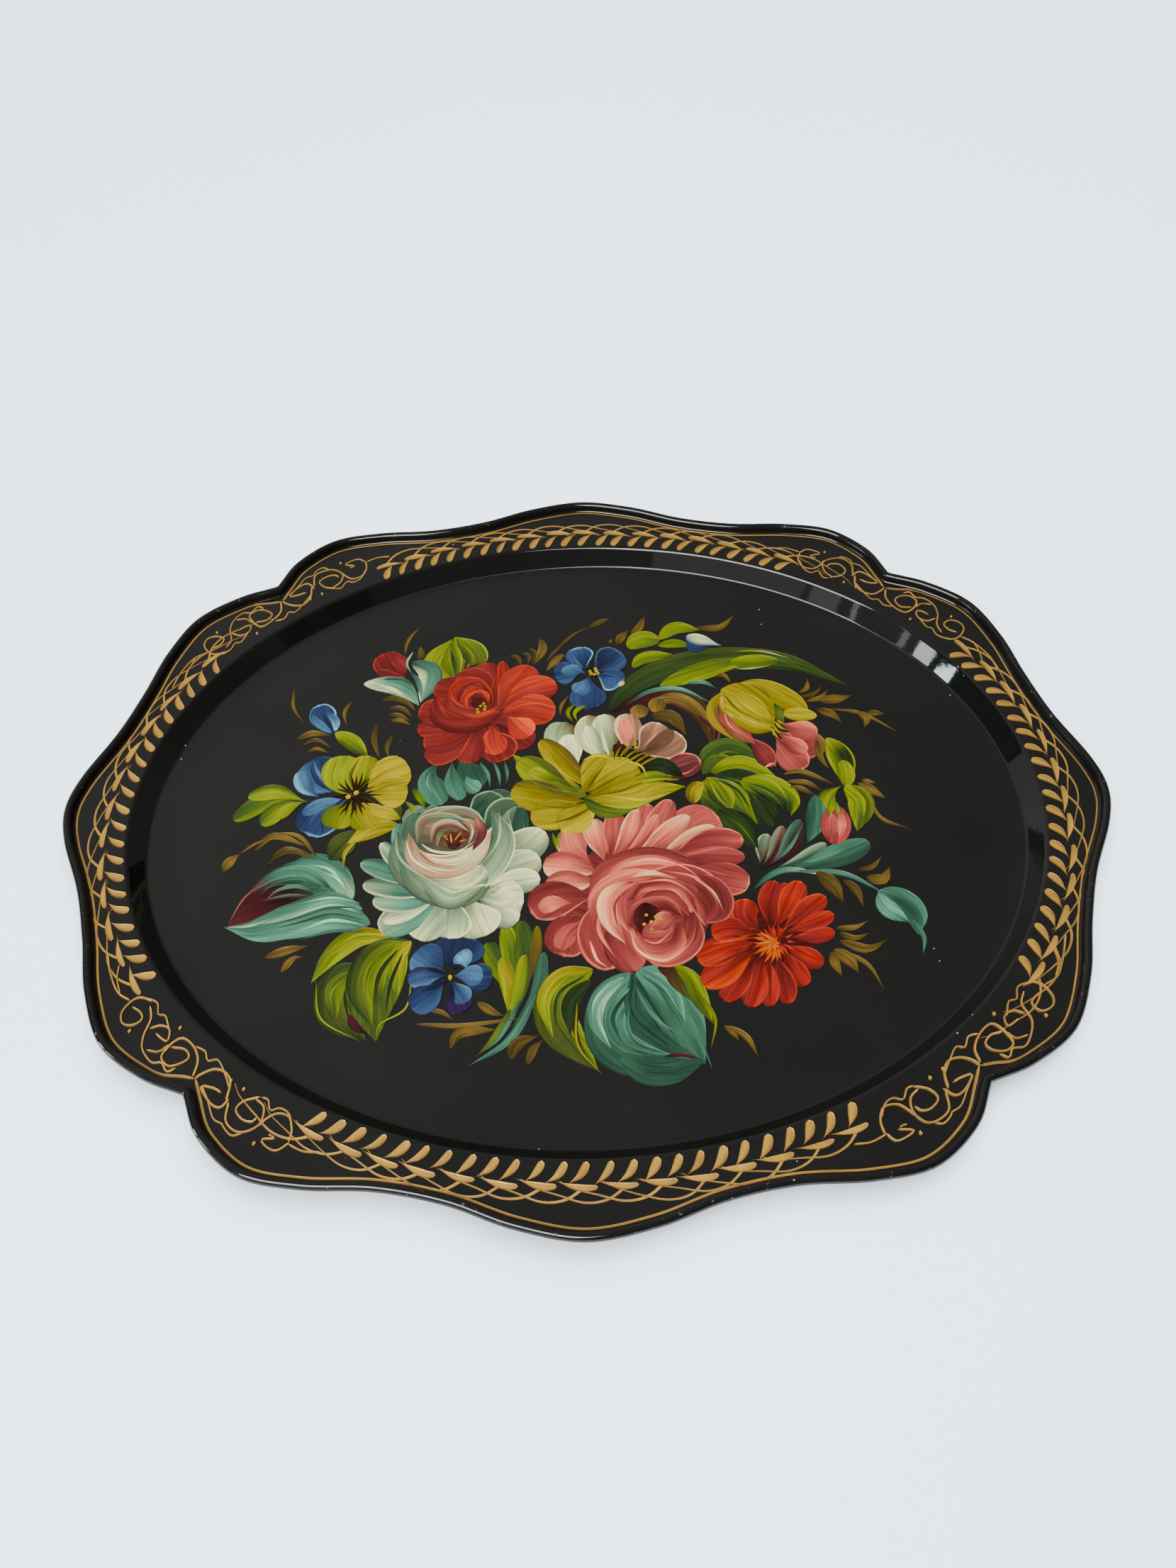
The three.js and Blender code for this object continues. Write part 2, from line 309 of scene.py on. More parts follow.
class Canvas:
    """Collects strokes on one level surface into one mesh of raised paint."""

    def __init__(self, surface, lift):
        self.surface = surface
        self.height = surface + lift
        self.vertices = []
        self.colours = []
        self.bristles = []
        self.top_faces = []
        self.side_faces = []
        self.count = 0

    def stroke(self, shape, along, edges, width, *xy):
        """One brush stroke.

        along holds colour codes from start to end.  edges holds one code for the
        left edge and one for the right; a capital letter makes a thin bright line,
        a small one a broad blend, and -- leaves the edge alone.
        """
        points = np.array(xy, float).reshape(-1, 2)
        length = np.hypot(*np.diff(points, axis=0).T).sum()
        rows = int(np.clip(length / ROW_LENGTH, *ROW_LIMITS))
        columns = int(np.clip(width * COLUMNS_PER_MM, *COLUMN_LIMITS))
        spine, tangent, length = catmull_rom(points, rows)
        even = np.linspace(0, 1, rows + 1)
        u = even
        if shape in SHAPES:
            u = even + CROWDING * (0.5 - 0.5 * np.cos(math.pi * even) - even)
        spine = np.column_stack([np.interp(u, even, spine[:, k]) for k in (0, 1)])
        tangent = np.column_stack([np.interp(u, even, tangent[:, k]) for k in (0, 1)])
        normal = np.column_stack([-tangent[:, 1], tangent[:, 0]])
        half = width / 2 * fullness(shape, u, length, width)
        across = np.sin(np.linspace(-math.pi / 2, math.pi / 2, columns + 1))
        if columns > 6:
            across = 0.5 * across + 0.5 * np.linspace(-1, 1, columns + 1)
        run, side = np.meshgrid(u, across, indexing="ij")
        reach = half[:, None] * np.ones_like(side)
        xy = spine[:, None, :] + normal[:, None, :] * (reach * side)[:, :, None]
        z = self.height + CROWN * (1 - side**2)
        top = np.dstack([xy, z]).reshape(-1, 3)
        colour = self.blend(shape, along, edges, run, side, reach, length)
        seed = random.random() * 40
        bristle = np.dstack([run * length, side * reach, np.full_like(run, seed)]).reshape(-1, 3)
        self.add(top, colour.reshape(-1, 4), bristle, rows + 1, columns + 1)
        self.height += LAYER

    def blend(self, shape, along, edges, run, side, reach, length):
        """Colour and strength of streaks at each vertex: along the stroke, then its edges."""
        ease = 1.45 if shape == "petal" else 1
        stops = [linear(along[k:k + 2]) for k in range(0, len(along), 2)]
        at = np.linspace(0, 1, len(stops))
        colour = np.dstack([np.interp(run**ease, at, [c[k] for c in stops]) for k in range(3)])
        for code, towards in ((edges[:2], side), (edges[2:], -side)):
            if code == "--":
                continue
            if code[0].isupper():
                gap = np.minimum((1 - towards) * reach, (1 - run) * length)
                weight = (1 - smooth(0.3 * RIM_BAND, RIM_BAND, gap)) * smooth(0.05, 0.4, run)
            else:
                weight = 0.9 * smooth(-0.1, 1.0, towards) * smooth(0.0, 0.35, run)
            colour += (linear(code) - colour) * weight[:, :, None]
        colour = colour * random.uniform(0.93, 1.07)
        streaks = 1.0 if shape in ("leaf", "blade") else 0.8
        return np.dstack([colour, np.full_like(run, streaks)])

    def add(self, top, colour, bristle, rows, columns):
        """Stores a stroke's top, its skirt down to the surface and its underside."""
        base = self.count
        index = np.arange(rows * columns).reshape(rows, columns) + base
        quads = np.stack([index[:-1, :-1], index[1:, :-1], index[1:, 1:], index[:-1, 1:]], -1)
        self.top_faces += quads.reshape(-1, 4)[:, ::-1].tolist()
        loop = np.concatenate([index[:, 0], index[-1, 1:], index[-2::-1, -1], index[0, -2:0:-1]])
        foot = np.arange(len(loop)) + base + rows * columns
        after = np.roll(loop, -1)
        foot_after = np.roll(foot, -1)
        self.side_faces += np.column_stack([loop, after, foot_after, foot])[:, ::-1].tolist()
        self.side_faces.append(foot.tolist())
        sunk = top[loop - base].copy()
        sunk[:, 2] = self.surface - SKIRT
        self.vertices += [top, sunk]
        self.colours += [colour, colour[loop - base]]
        self.bristles += [bristle, bristle[loop - base]]
        self.count += len(top) + len(sunk)

    def paint(self, rows):
        """Strokes from rows of shape, colours along, colours of the edges unless plain,
        width, and the x and y of each point."""
        for shape, along, *rest in rows:
            edges = rest.pop(0) if isinstance(rest[0], str) else PLAIN
            self.stroke(shape, along, edges, *rest)

    def finish(self, name, material, slot_name):
        """Makes the object of everything painted so far."""
        vertices = np.vstack(self.vertices)
        obj = new_object(name, vertices, self.top_faces + self.side_faces, material)
        mesh = obj.data
        flags = [True] * len(self.top_faces) + [False] * len(self.side_faces)
        mesh.polygons.foreach_set("use_smooth", flags)
        colour = mesh.attributes.new("paint", "FLOAT_COLOR", "POINT")
        colour.data.foreach_set("color", np.clip(np.vstack(self.colours), 0, 1).ravel())
        bristle = mesh.attributes.new("bristle", "FLOAT_VECTOR", "POINT")
        bristle.data.foreach_set("vector", np.vstack(self.bristles).ravel())
        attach(obj, "root")


# ---- gold ornament of the flange -------------------------------------------

GOLD_LIFT = 0.02
BORDER_INSET = 5.1
BORDER_CORNER = (150.6, 124.8)
BORDER_PULL = 15
LEAF_PITCH = 8.45
TWIG_PITCH = 14.3

# The garlands: side, share of the oval at their middle, and numbers of leaves and twigs.
GARLANDS = (
    ("far", 0.25, 25, 15),
    ("left", 0.5, 21, 13),
    ("near", 0.75, 25, 15),
    ("right", 0.0, 21, 13),
)

# The scrolls beside the notch in the first quadrant, on the long side and on
# the short side, as (width, points...).
LONG_SCROLLS = [
    (0.9, 99, 154.5, 105, 154, 111, 151),
    (1.1, 111, 151, 110, 146, 112, 141, 117, 139.3, 121, 142, 123, 144.5),
    (1.0, 111, 150.6, 115, 153, 119, 152, 121.6, 149.3, 116.5, 148.8),
    (0.9, 116.5, 148.8, 117.5, 147.6, 119, 147.4),
    (0.9, 110.5, 145, 112.5, 139.5, 116, 137, 119.5, 137.6, 121.2, 133.6, 124, 132.6),
    (1.1, 124, 132.6, 130, 134, 132.8, 137.6, 130, 141.4, 126, 142.2, 123.6, 140.4),
    (1.1, 126, 133.4, 122.2, 137, 122.4, 143, 127, 146.4, 132, 145.6, 136, 141.5, 136, 134.5),
    (0.9, 129.6, 146.6, 133, 147.4, 136.4, 144.6, 137, 142.4, 141, 140.4, 144.6, 134, 147.4, 128.4),
    (1.2, 135.4, 133.4, 139, 136.4, 143, 134.6, 147.4, 128.6, 143, 128.8, 139.4, 131),
    (1.3, 137, 134, 136.6, 127, 139.6, 122.6, 144, 121.4, 148, 122.8, 150.8, 124.8),
    (0.9, 136.6, 129, 139.4, 123, 143, 117.6, 146.4, 117.6, 148.4, 113.4, 152.4, 112),
]
SHORT_SCROLLS = [
    (1.2, 151.2, 124, 150.6, 118, 153.4, 112, 158, 108.4, 162, 110, 165, 114),
    (1.1, 164, 112, 165.4, 116, 162, 119.4, 157.4, 118.8, 154.4, 116, 157, 112.4, 162, 111.4),
    (1.0, 159, 120.6, 162.4, 121.8, 165, 118, 169.4, 117.4, 173, 112.6, 174, 106.6,
     172.6, 100, 174, 94.5),
    (1.0, 163.4, 111, 167, 113.6, 171.8, 113),
    (1.1, 169.4, 106, 166.4, 108.6, 164, 108.8, 164.4, 104.6, 168, 102.6, 172.6, 104),
    (0.9, 164.6, 105, 167, 98.8, 170, 97.8, 171.4, 93.2, 176, 90.8),
    (1.1, 181, 94.8, 177.6, 96.8, 176, 100, 179.4, 102.4, 183.6, 101, 185, 96.6,
     182, 91.6, 178, 90.4, 174, 92),
    (1.0, 182.6, 92, 188.6, 87.6, 193.6, 79, 196, 70),
    (0.8, 187.6, 88.6, 190, 82, 190.2, 76),
]
SCROLL_DOTS = [(124, 150.6), (131, 129.4), (160.2, 103.8), (180.2, 104.8), (136.5, 126)]
QUARTERS = [(1, 1), (-1, 1), (-1, -1), (1, -1)]


def oval_run():
    """Angles of the flange's oval, and the arc length up to each."""
    angle = np.linspace(0, 2 * math.pi, 4001)
    x = FLANGE_OVAL[0] * np.cos(angle)
    y = FLANGE_OVAL[1] * np.sin(angle)
    run = np.concatenate([[0], np.cumsum(np.hypot(np.diff(x), np.diff(y)))])
    return angle, run


OVAL_ANGLES, OVAL_RUNS = oval_run()


def flange_point(run, reach, clockwise):
    """The point reach outside the flange's oval at a run along it, moved clockwise."""
    angle = np.interp((run - clockwise) % OVAL_RUNS[-1], OVAL_RUNS, OVAL_ANGLES)
    x = FLANGE_OVAL[0] * math.cos(angle)
    y = FLANGE_OVAL[1] * math.sin(angle)
    out = Vector((x / FLANGE_OVAL[0] ** 2, y / FLANGE_OVAL[1] ** 2)).normalized()
    return x + out.x * reach, y + out.y * reach


def flange_points(run, steps):
    """The x and y of several points, each given by its way clockwise and its reach."""
    return sum((flange_point(run, reach, clockwise) for clockwise, reach in steps), ())


def spaced(middle, count, pitch, play):
    """Runs at an even pitch about a middle, each moved a little at random."""
    for k in range(count):
        yield middle + (k - (count - 1) / 2) * pitch + random.uniform(-play, play)


def garland(canvas, middle, leaves, twigs):
    """Laurel of one side: crossing arcs, a row of twigs and a row of leaves."""
    jitter = random.uniform
    for run in spaced(middle, twigs, TWIG_PITCH, 0.6):
        top = jitter(15.2, 16.6)
        steps = ((0, 10), (7, top - 1), (15, top), (24, top - 2.6), (33, 10.5), (38, 7.6))
        canvas.stroke("taper", "z5z4z3", PLAIN, jitter(0.95, 1.2), *flange_points(run, steps))
    for run in spaced(middle, twigs, TWIG_PITCH, 0.8):
        lift = jitter(-0.5, 0.5)
        steps = ((-4, 10.3 + lift), (0, 10.6 + lift), (5, 9.8 + lift), (11, 8.2 + lift))
        canvas.stroke("tear", "z4z5z5z3", PLAIN, jitter(2.3, 2.9), *flange_points(run, steps))
    for run in spaced(middle, leaves, LEAF_PITCH, 0.5):
        lean = jitter(5.2, 6.8)
        steps = ((-0.6, 0.7), (0.2, 3.4), (2.2, 6.2), (lean, jitter(8.8, 9.8)))
        canvas.stroke("tear", "z5z5z5z3", "z3--", jitter(3.0, 3.8), *flange_points(run, steps))


def border(canvas):
    """The gold line that follows the outline, drawn side by side to the notches."""
    right = side_stations(SHORT_SIDE, (1, -1), 60)
    far = side_stations(LONG_SIDE, (-1, 1), 60)
    for side in (right, far, -right, -far):
        line = rim_ring(side, BORDER_INSET, 0)[:, :2]
        for end, order in ((0, 1), (-1, -1)):
            run = np.concatenate([[0], np.cumsum(np.hypot(*np.diff(line[::order], axis=0).T))])
            corner = np.sign(line[end]) * BORDER_CORNER
            share = 1 - smooth(0, BORDER_PULL, run)
            line = line + (share[:, None] * (corner - line[end]))[::order]
        canvas.stroke("line", "z4z5z4z5z4", PLAIN, 1.2, *line.ravel())


def scrolls(canvas):
    """The scroll groups and dots on both sides of the four notches."""
    for sx, sy in QUARTERS:
        for width, *flat in LONG_SCROLLS + SHORT_SCROLLS:
            points = np.array(flat).reshape(-1, 2)
            wobble = np.array([[random.gauss(0, 0.22) for _ in range(2)] for _ in points])
            points = (points + wobble) * (sx, sy)
            canvas.stroke("line", "z5z4z5", PLAIN, 0.7 * width, *points.ravel())
        for x, y in SCROLL_DOTS:
            dot = ((x - 0.4) * sx, (y - 0.7) * sy, (x + 0.4) * sx, (y + 0.7) * sy)
            canvas.stroke("oval", "z5z5", PLAIN, 1.1, *dot)


def gold_ornament(material):
    """The garlands of the four sides, the border line and the scrolls."""
    for name, share, leaves, twigs in GARLANDS:
        canvas = Canvas(FLANGE_TOP, GOLD_LIFT)
        garland(canvas, share * OVAL_RUNS[-1], leaves, twigs)
        canvas.finish(f"gold_garland_{name}", material, "gold_paint")
    for name, draw in (("border", border), ("scrolls", scrolls)):
        canvas = Canvas(FLANGE_TOP, GOLD_LIFT)
        draw(canvas)
        canvas.finish(f"gold_{name}", material, "gold_paint")


# ---- bouquet ---------------------------------------------------------------

# The grasses are rows of width and points; every other row is one stroke as
# Canvas.paint takes it.

GRASSES = [
    (2.0, -88, 96, -87.5, 103, -85, 109, -81, 114), (4, -80.5, 92, -80, 96, -80.5, 101),
    (4, -97, 67.5, -90, 68, -84, 65, -80, 60), (2.8, -93, 62, -87, 62, -81, 56.5),
    (2.6, -93, 58.5, -87, 57.5, -82, 54), (2.4, -92, 55, -86, 54.5, -81.5, 51.5),
    (3.2, -98, 52.5, -98.5, 43, -94.5, 32), (2.6, -90, 46, -92, 39, -90.5, 33),
    (2.6, -36, 93.5, -32, 92, -30, 86), (2.6, -30, 95, -26.5, 93, -27, 87.5),
    (3, -27, 98, -23.5, 94, -25, 87.5), (4.6, -21, 104, -20, 97, -24, 87),
    (1.4, -14, 96, -5, 106, 5, 112), (1.6, -10, 100, -15, 94, -18.5, 88),
    (3.6, 3, 110.5, 8, 114, 14, 117), (4.4, -9, 93, -12, 91.5, -18, 83),
    (1.6, 13, 100, 14.4, 103), (4.6, 17, 99, 19, 104, 23, 108.5),
    (4.4, 24, 105, 28, 110, 31, 117.5), (4.2, 56, 109, 68, 109, 76, 117),
    (1.6, -140, 76, -139, 64, -132.5, 54), (3.6, -135, 44.5, -128, 48, -119, 46.5),
    (2.6, -132, 41, -126, 44, -118, 39.5), (2.0, -129, 37, -125, 39, -119, 36.5),
    (2.2, -111, 67, -114, 60, -112, 52), (3.6, -146, -17, -138, -9, -122, -15),
    (2.6, -139, -24, -132, -16, -118, -20), (2.2, -118, -20, -128, -9, -142, -8),
    (5, -158, -27, -156, -22, -152, -18), (1.3, -152, -18, -146, -13, -140, -10),
    (2.6, -138, -22, -130, -17, -118, -22), (4.2, -134, -69, -125, -66, -116, -64),
    (3.4, -126, -76, -122, -70, -118, -69), (4.6, -54, -111, -50, -104, -35, -103),
    (2.2, -68, -100, -50, -101, -24, -98), (2, -64, -94, -58, -95, -53, -99),
    (3.6, -44, -91, -38, -95, -33, -97), (5.4, -30, -116, -27, -109, -19, -106),
    (4, -23, -118, -21, -112, -17, -108), (2.4, 55, -103, 58, -105, 61, -109.5),
    (2.8, 57, -103, 64, -108, 68, -116.5), (2.6, 103, 66, 107, 69, 108, 75),
    (2.8, 102, 63, 110, 65, 114, 70), (2.8, 106, 61, 113, 63, 117, 68),
    (5.4, 112, 61.5, 121, 62, 128, 64), (4.2, 110, 56, 117, 53, 121, 48),
    (1.7, 116, 56, 131, 53, 146, 42), (4, 129, 54, 133, 50, 131, 44),
    (3.2, 133, 53, 138, 53, 142, 52), (3.2, 108, 38, 109, 28, 112, 21),
    (2.6, 91, 19, 100, 20, 113, 13), (2.6, 92, 15, 101, 14, 108, 9),
    (2.4, 93, 12, 98, 11, 104, 7), (2.2, 126, 15, 129, 14, 132, 13),
    (5, 124, 13, 130, 9, 135, 5), (1.6, 128, 5, 132, -6, 144, -12),
    (2.6, 118, -32, 124, -31, 129, -26), (5.2, 121, -36, 128, -37, 132, -31),
    (7, 100, -33, 106, -39, 110, -48), (3.8, 111, -37, 116, -42, 118, -50),
    (2.6, 105, -60, 113, -60, 119, -57), (2.6, 106, -62, 112, -65, 119, -63),
    (4, 106, -66, 117, -70, 126, -66), (4.2, 102, -71, 103, -77, 105, -82),
    (5.4, 103, -70, 109, -75, 112, -81), (1.8, 105, -70, 116, -77, 121, -88),
    (2.4, 64, 77, 68, 78, 71, 73), (7, 32, 54, 42, 53, 48, 42),
]

BACK_LEAVES = [
    # upper left, behind the red rose
    ("leaf", "g2g3g4g4", "g3g4", 15, -59, 79, -59, 92, -64, 106.5),
    ("leaf", "g2g3g4", "e2G5", 12.5, -52, 85, -53, 95, -63, 106.5),
    ("leaf", "g4g5g5g4", "g5g3", 12.5, -65, 76, -72.5, 89, -65, 105),
    ("leaf", "g3g4g3", 5, -63, 80, -66, 92, -66, 103),
    ("blade", "g2e2g3", 1.8, -62, 82, -64, 93, -66, 103),
    ("blade", "e2g2g3", 1.6, -58, 84, -57, 94, -62, 104),
    ("blade", "g4g5g4", 1.6, -60, 82, -60, 93, -64, 105),
    ("blade", "g3g4g4", 1.4, -54, 87, -55, 95, -61, 103),
    ("leaf", "m2m2g2", 6, -62, 80, -55, 84, -48, 90),
    # long blade and its companions
    ("leaf", "e2e3e3e4e3", "g2e2", 16, 12, 58, 25, 74, 45, 84, 72, 88, 100, 85, 127, 70),
    ("leaf", "g4g4g3e3", "g3g5", 11, 37, 72.5, 50, 78, 66, 84, 84, 88),
    ("oval", "g4g4e3", "g5g3", 8.5, 71.5, 86, 82, 86.5, 95, 86.5),
    ("blade", "g5w5g4", 0.8, 72, 83.5, 79, 81.8, 92, 83.5),
    ("blade", "g4g6w5e4", 0.9, 74, 93.2, 88, 92.6, 103, 87),
    ("leaf", "t2t4t5t4", 3.4, 17, 58, 32, 68, 46, 70, 60, 62),
    ("blade", "t3t5t3", 2.2, 50, 73.5, 58, 74, 64, 70),
    # small leaves at the top
    ("oval", "g4g4e4", "g5g3", 11, 22, 97, 29, 102, 38, 101),
    ("leaf", "g4g4g4e3", "g5g3", 8, 37.5, 102, 46, 109, 58, 107.5),
    ("leaf", "g4g4g3", 5.5, 37, 98, 45, 99, 54, 97),
    ("petal", "b2b3b3", 6.5, 62, 96, 57, 95, 51, 98.5),
    ("petal", "b6w5b5", "b4w5", 7.5, 68, 97, 60, 100, 51, 103),
    ("leaf", "g4g4g3", "g5g3", 7.5, 24, 84, 30, 90, 44, 92),
    # curled brown leaf
    ("cup", "m1m2o2o2", 11, 13, 57, 28, 64.5, 46, 65, 57, 52, 60.5, 34),
    ("leaf", "o4o4o3o2", "o4m2", 8.5, 33, 63, 44, 64, 54, 56, 59, 44),
    ("leaf", "t2t4t5t4", 2.6, 20, 61, 32, 69, 46, 70, 60, 62),
    ("blade", "o2o5o4", 1.2, 38, 66.5, 50, 64, 57, 54),
    ("oval", "o5o4o3", "o5o3", 9, 27, 53, 26, 61),
    ("oval", "o5o4o3", "o5o3", 8.5, 34, 56, 36, 65),
    ("blade", "o4m4o4", 1.4, 55, 57, 63.5, 47, 61, 34),
    ("blade", "m2m3m2", 2.2, 54, 54, 60, 46, 60, 36),
    # green group right of the peony
    ("leaf", "e2e3e3e2", "e4e1", 14, 54, 21, 61, 31, 70, 33, 81, 25),
    ("leaf", "e3e4e2", "e5e2", 8, 54, 20, 62, 27, 74, 23),
    ("blade", "e3e5e2", 1.2, 57, 25, 65, 32, 76, 30),
    ("leaf", "g3g5g5g4", "g5e3", 10, 58, 21, 72, 25, 88, 17),
    ("leaf", "e2e2e2", 26, 58, 18, 73, 8, 84, -9),
    ("leaf", "g4e4e3e2", "g4e2", 22, 54, 16, 61, 8, 68, -1, 77, -8),
    ("leaf", "g4g3e3", "g5e2", 11, 56, 18, 62, 9, 66, -2),
    ("blade", "g4e5e3", 1.4, 58, 18, 67, 12, 72, 0),
    ("blade", "g5g4e4", 1.2, 57, 16, 61, 6, 68, -3),
    ("blade", "e2e3e2", 1.4, 61, 17, 70, 10, 75, -2),
    ("blade", "e4e5e3", 1.2, 64, 18, 74, 13, 78, 2),
    ("leaf", "g4e4e3e2", "g5e2", 15, 71, 15, 82, 12, 92, 5, 92, -4),
    ("leaf", "g4g4e4", "g5e3", 6, 72, 17, 84, 13, 92, 4),
    ("blade", "e4e5e3", 1.2, 74, 14, 84, 8, 90, -1),
    ("blade", "e2e2e3", 1.3, 75, 12, 83, 5, 87, -5),
    ("oval", "y4y4o3", "y5o3", 8, 54, 15, 50, 11, 49, 4),
    ("leaf", "e2e3e3e2", "e1e2", 15, 60, 0, 66, -6, 76, -20),
    ("blade", "e3e5e3", 1, 62, -2, 70, -10, 77, -23),
    # right hand sprig
    ("leaf", "g5e2e2g3", "G5g4", 11.5, 113, 39, 118.5, 27, 119, 11),
    ("oval", "g4g5g4", "g5g3", 8, 118.5, 26, 119.5, 19, 119, 11.5),
    ("blade", "g4g5g4", 1.6, 112.5, 38, 112.5, 28, 116, 16),
    ("petal", "g4g5g5", "g3e3", 8.5, 116, 11.5, 110, 7, 106.5, -1),
    ("leaf", "g5g4e4e3", "g3g5", 12, 118, 12, 124, 3, 120.5, -12.5),
    ("blade", "g5g6g4", 2, 119, 10, 125, 4, 124, -6),
    # deep teal leaf between the sprig and the green group
    ("leaf", "t3t3t2", "t4t2", 9.5, 104, 7, 103, -6, 98, -18),
    # yellow leaf with a tail, left of the white rose
    ("leaf", "e2g2g2", 12, -112, -22, -106, -13, -100, -7),
    ("leaf", "y3y4y5y5", "y4y5", 9, -83, -4.5, -94, -6.5, -105, -14),
    ("blade", "g5y4g4", 2, -101, -12, -105.5, -19, -105, -27),
    ("leaf", "e2g2e2", 7, -90, 10, -86, 5, -82, -2),
    ("blade", "e3g4e3", 3.4, -78, 15, -74, 9, -71, 3),
    ("blade", "e3g4e3", 2.4, -81, 8, -77, 4, -74, -3),
    # leaf below the blue bud
    ("leaf", "g5g4g3e3", "g5e2", 9, -117, 48, -110, 43, -100, 33),
    # three-lobed leaf at the far left
    ("petal", "e4e4e3", "g4--", 10, -125, 9, -140, 12, -158, 0),
    ("petal", "g4g5g4", "g5e3", 8.5, -126, 9, -140, 14.5, -153, 12),
    ("petal", "g4g4e4", "g5e3", 9.5, -127, 9, -136, 6, -145, -3),
    ("petal", "g4g5g5", 6, -127, 9, -134, 5, -138, 0),
    # small green marks
    ("blade", "t3t4t3", 1.9, -48, 29, -44, 22, -42.5, 14),
    ("blade", "t3t4t3", 1.7, -41.5, 29, -39, 22, -38, 14),
    ("blade", "t2t4t2", 1.6, -36.5, 29, -35, 22, -35.5, 15),
    ("blade", "g3g5g4", 2, -4, 62, -7.5, 57, -5, 51.5),
    ("blade", "g3g5g4", 2.4, 1, 61, -4, 57, -3, 52),
    ("blade", "o2o4o3", 2, -7, 67, -10.5, 61, -11, 54),
    ("blade", "g3g4g3", 1.5, -14, -10.5, -13, -15, -12, -20),
    ("blade", "g3g4g3", 1.5, -10, -10, -11.5, -14, -11, -19),
]

RED_BUD = [
    ("petal", "r2r2r3", "R5r2", 16, -86, 81, -93, 87, -99, 96.5),
    ("petal", "r2r3r2", "r3--", 8, -86, 83, -89, 89, -93, 95),
    ("petal", "r3r2r2", 6, -86, 81, -94, 82.5, -101, 85),
    ("leaf", "t2t4t5w3", "t3w5", 12, -84, 91, -74.5, 83, -78, 65),
    ("blade", "t2t4t5", 3, -84, 84, -80, 78, -77, 66),
    ("leaf", "w5t5t4t5", "t4w4", 10.5, -106.5, 77.5, -93, 76.5, -85, 72, -78.5, 63.5),
    ("blade", "w4w5t5", 2.4, -102, 77, -92, 73.5, -82, 66),
    ("blade", "t2t3t2", 2, -97, 80, -88, 80, -80, 74),
    ("blade", "w4w3w2", 1.3, -84, 97, -86.5, 90, -83.5, 83),
]

BLUE_BUD = [
    ("petal", "b2b3b3", "B5B6", 13, -116, 47, -122, 54, -127, 65),
    ("leaf", "b5b5b4", 4, -119, 48, -126, 54, -130, 60),
    ("leaf", "b6b5b3", 4.6, -117, 49, -118, 55, -123, 61),
    ("blade", "b2b2b3", 2, -118, 49, -122, 56, -127, 62),
]

